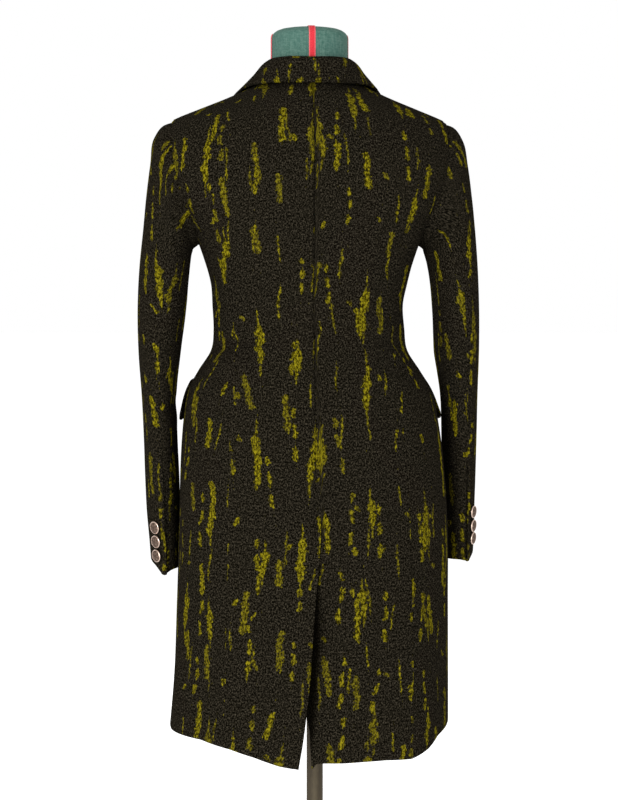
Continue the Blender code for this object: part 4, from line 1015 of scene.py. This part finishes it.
def solid(name, shape, look):
    """A piece from a closed shape, smooth but for its sharp edges."""
    bmesh.ops.recalc_face_normals(shape, faces=shape.faces)
    mesh = bpy.data.meshes.new(name)
    shape.to_mesh(mesh)
    shape.free()
    mesh.shade_smooth()
    mesh.set_sharp_from_angle(angle=SHARP)
    mesh.materials.append(look)
    piece = bpy.data.objects.new(name, mesh)
    bpy.context.scene.collection.objects.link(piece)
    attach(piece, "root")
    return piece


def button(name, radius, place, out, petals):
    """One button with its face turned outward."""
    shape = bmesh.new()
    fixed = {"rim": 0.10, "back": 0.0, "shank": -SHANK / radius}
    hollow = shape.verts.layers.float.new("hollow")
    loops = []
    for share, kind in BUTTON_PROFILE:
        loop = []
        for k in range(BUTTON_SIDES):
            angle = 2 * math.pi * k / BUTTON_SIDES
            dome = 0.52 * math.sqrt(max(1 - (share * 0.93) ** 2, 0)) - 0.02
            wave = 0.5 + 0.5 * math.cos(petals * angle)
            low = 0.075 + 0.085 * (1 - wave) ** 2 if kind == "petals" else LOWERED.get(kind, 0.0)
            x = share * radius * math.cos(angle)
            y = share * radius * math.sin(angle)
            vert = shape.verts.new((x, y, fixed.get(kind, dome - low) * radius))
            vert[hollow] = min(low * 12, 1.0)
            loop.append(vert)
        loops.append(loop)
    for first, second in zip(loops, loops[1:]):
        for k in range(BUTTON_SIDES):
            m = (k + 1) % BUTTON_SIDES
            shape.faces.new((first[k], second[k], second[m], first[m]))
    shape.faces.new(loops[0])
    shape.faces.new(loops[-1][::-1])
    turned = Vector(out).to_track_quat("Z", "Y").to_matrix()
    bmesh.ops.rotate(shape, verts=shape.verts, cent=(0, 0, 0), matrix=turned)
    bmesh.ops.translate(shape, verts=shape.verts, vec=Vector(place))
    piece = solid("metal_" + name, shape, METAL)
    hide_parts(name)


CUFF_HEIGHTS = {1: (0.802, 0.782, 0.762), -1: (0.820, 0.800, 0.782)}
CUFF_ANGLE = {1: 58, -1: 66}
CUFF_RADIUS, CUFF_PETALS = 0.00875, 6
FRONT_HEIGHTS = (1.095, 0.970, 0.845)
FRONT_RADIUS, FRONT_PETALS = 0.0125, 8
for word, side in (("left", 1), ("right", -1)):
    points, out = sleeve(side, np.array([CUFF_ANGLE[side] / DEGREES_A_STEP]), LEVELS)
    for number, height in enumerate(CUFF_HEIGHTS[side], 1):
        k = int(np.argmin(np.abs(points[:, 0, 2] - height)))
        way = out[k, 0]
        spot = points[k, 0] + np.array([0, 0, height - points[k, 0, 2]]) + way * (SHANK + BUTTON_ROOM)
        button("cuff_button_%s_%d" % (word, number), CUFF_RADIUS, spot, way, CUFF_PETALS)
for number, height in enumerate(FRONT_HEIGHTS, 1):
    spot = coat(180, height, SHANK + BUTTON_ROOM)
    button("front_button_%d" % number, FRONT_RADIUS, spot, outward(180, height), FRONT_PETALS)

# The dress form inside the coat: a padded body covered with smooth green linen, with a
# plain round neck whose top is a low dome.
FORM_BOTTOM = 0.800
NECK_HALF_WIDTH = 0.0532
NECK_HALF_DEPTH = 0.0520
NECK_Y = 0.012
NECK_TOP = 1.485
FORM_SIDES = 120
FORM_HALF_WIDTH = 0.175
# The room left round the form: everywhere, more below the shoulders, and more below the bust
FORM_ROOM = (0.0017, 0.0060, 0.0070)
# The neck's rounded top: height over its straight part, and share of its width
NECK_DOME = [
    (0.0000, 0.992), (0.0020, 0.972), (0.0042, 0.935), (0.0064, 0.880), (0.0082, 0.800),
    (0.0093, 0.690), (0.0100, 0.570), (0.0108, 0.400), (0.0114, 0.200),
]


def form_ring(height):
    """One ring of the form's body, inside the coat."""
    turn = np.arange(FORM_SIDES) * 360 / FORM_SIDES
    least, low, lowest = FORM_ROOM
    room = least + low * (1 - soft((height - 1.345) / 0.025)) + lowest * (1 - soft((height - 1.10) / 0.10))
    made = ring(turn, height) - outward(turn, height) * (WALL + room)
    made[:, 0] = np.clip(made[:, 0] - curve(BODY, SWAY, height), -FORM_HALF_WIDTH, FORM_HALF_WIDTH)
    if height < ARMPIT:
        made[:, 2] = height
    return made


def neck_ring(height, shrink=1.0):
    """One ring of the form's neck."""
    angle = np.arange(FORM_SIDES) * 2 * np.pi / FORM_SIDES
    x = NECK_HALF_WIDTH * shrink * np.sin(angle)
    y = NECK_Y + NECK_HALF_DEPTH * shrink * np.cos(angle)
    return np.stack((x, y, np.full(FORM_SIDES, height)), axis=-1)


def cover_look():
    """Close woven green linen: fine threads both ways, with a few thicker ones."""
    look = Looks("form_cover")
    source = look.on_object()
    x, y, z = look.split(source)
    round_neck = look.math("ARCTAN2", x, look.math("SUBTRACT", y, NECK_Y))
    weft = look.math("SINE", look.times(z, 3300.0))
    warp = look.math("SINE", look.times(round_neck, 175.0))
    weave = look.math("MULTIPLY_ADD", look.times(weft, warp), 0.5, 0.5)
    slub = look.noise(look.place(look.times(x, 0.3), look.times(y, 0.3), z), 520.0, 3.0)[0]
    warp_slub = look.noise(look.place(x, y, look.times(z, 0.15)), 560.0, 2.0)[0]
    blotch = look.noise(source, 26.0, 2.0)[0]
    threads = look.math("MULTIPLY_ADD", slub, 0.4, look.times(warp_slub, 0.4))
    share = look.math("MULTIPLY_ADD", weave, 0.2, threads)
    colour = look.mix(look.ramp(share, 0.36, 0.66), (0.026, 0.078, 0.060, 1), (0.082, 0.150, 0.120, 1))
    colour = look.mix(look.ramp(blotch, 0.3, 0.75, 0.0, 0.35), colour, (0.042, 0.100, 0.085, 1))
    return look.dress(
        Base_Color=colour, Roughness=0.85, Normal=look.bump(share, 0.0006, 0.5), Specular_IOR_Level=0.2,
    )


COVER = cover_look()


def ringed(name, rings, look):
    """A closed body through rings of points."""
    shape = bmesh.new()
    loops = [[shape.verts.new(point) for point in made] for made in rings]
    for low, high in zip(loops, loops[1:]):
        for k in range(len(low)):
            m = (k + 1) % len(low)
            shape.faces.new((low[k], low[m], high[m], high[k]))
    shape.faces.new(loops[0])
    shape.faces.new(loops[-1])
    return solid(name, shape, look)


body_heights = np.concatenate((np.linspace(FORM_BOTTOM, 1.335, 50), np.linspace(1.345, NECKLINE, 14)))
rings = [form_ring(height) for height in body_heights]
rings += [neck_ring(1.432, 1.06), neck_ring(1.438, 1.02), neck_ring(1.445)]
rings += [neck_ring(height) for height in np.linspace(1.452, NECK_TOP - 0.003, 5)]
rings += [neck_ring(NECK_TOP + lift, shrink) for lift, shrink in NECK_DOME]
body = ringed("form_body", rings, COVER)
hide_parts("form")

# Flat red tapes sewn down the form's neck at the back and both sides. The back one
# carries on over the top. Their woven edges are a little paler.
TAPE_WIDTH = 0.0088
TAPE_WALL = 0.0008
TAPE_OFF = 0.0011
TAPE_BOTTOM = 1.446


def tape_look():
    """Ribbed red tape with pale selvages, its ribs painted lighter on their crests and darker between them
    as painted shade.
    """
    look = Looks("tape_cloth")
    across, up = look.on_cloth()
    rib = look.math("SINE", look.times(up, 6900.0))
    pale = look.ramp(look.math("ABSOLUTE", across), 0.0026, 0.0040)
    # Painted shade: the ribs are lighter on their crests and darker between them.
    painted_shade = look.math("MULTIPLY_ADD", rib, 0.25, 0.5)
    colour = look.mix(painted_shade, (0.42, 0.014, 0.024, 1), (0.52, 0.026, 0.038, 1))
    colour = look.mix(look.times(pale, 0.45), colour, (0.60, 0.20, 0.20, 1))
    return look.dress(
        Base_Color=colour, Roughness=0.7, Normal=look.bump(rib, 0.0002, 0.4), Specular_IOR_Level=0.2,
    )


TAPE = tape_look()
for name, centre in (("tape_back", 0), ("tape_left", 86), ("tape_right", 266)):
    over = centre == 0
    path = [(height, 1.0) for height in (TAPE_BOTTOM, 1.458, 1.470, NECK_TOP - 0.003)]
    path += [(NECK_TOP + lift, shrink) for lift, shrink in NECK_DOME[:8 if over else 2]]
    across = np.linspace(-1, 1, 9)
    radius = NECK_HALF_DEPTH if over else NECK_HALF_WIDTH
    rows = []
    for height, shrink in path:
        angle = np.radians(centre) + across * TAPE_WIDTH / 2 / (radius * max(shrink, 0.3))
        x = (NECK_HALF_WIDTH * shrink + TAPE_OFF) * np.sin(angle)
        y = NECK_Y + (NECK_HALF_DEPTH * shrink + TAPE_OFF) * np.cos(angle)
        rise = TAPE_OFF * soft((height - NECK_TOP + 0.003) / 0.012)
        rows.append(np.stack((x, y, np.full(len(across), height + rise)), axis=-1))
    points = np.array(rows)
    facing = unit(points - np.array([0, NECK_Y, 1.44]))
    cloth(name, points, facing, TAPE, thick=TAPE_WALL, edge=0.0002)

# The stand: a turned wooden post under the form, set in a round wooden base with a rounded
# edge. The wood is dull and weathered, its grain running up the post and across the base.


def wood_look(name, along, light, dark):
    """Weathered wood with long grain."""
    look = Looks(name)
    x, y, z = look.split(look.on_object())
    stretch = [0.06 if axis == along else 1.0 for axis in range(3)]
    scaled = look.place(*(look.times(part, share) for part, share in zip((x, y, z), stretch)))
    bend = look.noise(scaled, 14.0, 2.0)[0]
    rings_at = look.math("MULTIPLY_ADD", bend, 24.0, look.times(y if along == 0 else x, 420.0))
    band = look.math("MULTIPLY_ADD", look.math("SINE", rings_at), 0.5, 0.5)
    fine = look.noise(scaled, 1900.0, 3.0)[0]
    share = look.math("ADD", look.times(band, 0.25), look.times(fine, 0.75))
    colour = look.mix(look.ramp(share, 0.1, 0.95), dark, light)
    return look.dress(
        Base_Color=colour, Roughness=look.ramp(fine, 0.2, 0.8, 0.6, 0.8),
        Normal=look.bump(fine, 0.0004, 0.35), Specular_IOR_Level=0.2,
    )


POST_X = -0.008


def turned_rings(profile, sides):
    """Rings of a turned piece from (radius, height) pairs."""
    angle = np.arange(sides) * 2 * np.pi / sides
    rings = []
    for radius, height in profile:
        x = POST_X + radius * np.sin(angle)
        rings.append(np.stack((x, radius * np.cos(angle), np.full(sides, height)), axis=-1))
    return rings


POST_LOOK = wood_look("post_wood", 2, (0.082, 0.066, 0.040, 1), (0.024, 0.017, 0.009, 1))
BASE_LOOK = wood_look("base_wood", 0, (0.090, 0.070, 0.042, 1), (0.028, 0.020, 0.011, 1))
# radius, height
POST_PROFILE = [
    (0.0105, 0.0243), (0.0115, 0.0255), (0.0115, 0.300), (0.0115, 0.600), (0.0115, 0.7985),
    (0.0105, 0.7997),
]
BASE_PROFILE = [
    (0.182, 0.0), (0.1845, 0.0015), (0.185, 0.004), (0.185, 0.017), (0.1840, 0.0205),
    (0.1815, 0.0230), (0.178, 0.0240), (0.120, 0.0240), (0.040, 0.0240),
]
post = ringed("stand_post", turned_rings(POST_PROFILE, 48), POST_LOOK)
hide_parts("post")
base = ringed("stand_base", turned_rings(BASE_PROFILE, 128), BASE_LOOK)
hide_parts("base")

# The studio: a wide pale floor under a white sky, and four large soft lamps, most of whose
# light comes from behind the camera. The camera is level and almost square to the back.
FLOOR_RADIUS = 60.0
FLOOR_Z = -0.0005
floor_mesh = bpy.data.meshes.new("studio_floor")
shape = bmesh.new()
bmesh.ops.create_circle(shape, cap_ends=True, segments=96, radius=FLOOR_RADIUS)
shape.to_mesh(floor_mesh)
shape.free()
floor = bpy.data.objects.new("studio_floor", floor_mesh)
bpy.context.scene.collection.objects.link(floor)
floor.location.z = FLOOR_Z
pale = Looks("studio_floor")
ground_speck = pale.noise(pale.on_object(), 3.0, 2.0)[0]
floor_mesh.materials.append(pale.dress(
    Base_Color=pale.mix(ground_speck, (0.94, 0.94, 0.94, 1), (0.96, 0.96, 0.96, 1)), Roughness=0.9,
    Emission_Color=(1.0, 1.0, 1.0, 1.0), Emission_Strength=0.10))

scene = bpy.context.scene
scene.view_settings.view_transform = "Standard"
sky = bpy.data.worlds.new("studio")
sky.use_nodes = True
sky.node_tree.nodes["Background"].inputs["Color"].default_value = (1.0, 1.0, 1.0, 1.0)
sky.node_tree.nodes["Background"].inputs["Strength"].default_value = 1.0
scene.world = sky


def lamp(name, place, aim, size, power):
    """A large soft lamp."""
    data = bpy.data.lights.new(name, "AREA")
    data.shape = "RECTANGLE"
    data.size = size[0]
    data.size_y = size[1]
    data.energy = power
    made = bpy.data.objects.new(name, data)
    bpy.context.scene.collection.objects.link(made)
    made.location = place
    made.rotation_euler = (Vector(aim) - Vector(place)).to_track_quat("-Z", "Y").to_euler()


lamp("key", (1.5, 2.7, 1.2), (0, 0, 0.92), (1.1, 1.5), 76)
lamp("fill", (-1.8, 2.6, 1.0), (0, 0, 0.92), (1.2, 1.6), 20)
lamp("top", (0.2, 0.5, 3.4), (0, 0, 1.0), (1.4, 1.4), 3)
lamp("front", (0.4, -3.0, 2.0), (0, 0, 1.0), (2.0, 2.0), 34)

CAMERA_TURN = math.radians(176)
CAMERA_AWAY = 2.6
CAMERA_HEIGHT = 1.118
CAMERA_LENS = 83.57
CAMERA_SHIFT = -0.125
camera_data = bpy.data.cameras.new("camera")
camera_data.lens = CAMERA_LENS
camera_data.sensor_width = 36.0
camera_data.shift_y = CAMERA_SHIFT
camera = bpy.data.objects.new("camera", camera_data)
scene.collection.objects.link(camera)
camera.location = (CAMERA_AWAY * math.sin(CAMERA_TURN), -CAMERA_AWAY * math.cos(CAMERA_TURN), CAMERA_HEIGHT)
camera.rotation_euler = (math.radians(90), 0, CAMERA_TURN)
scene.camera = camera
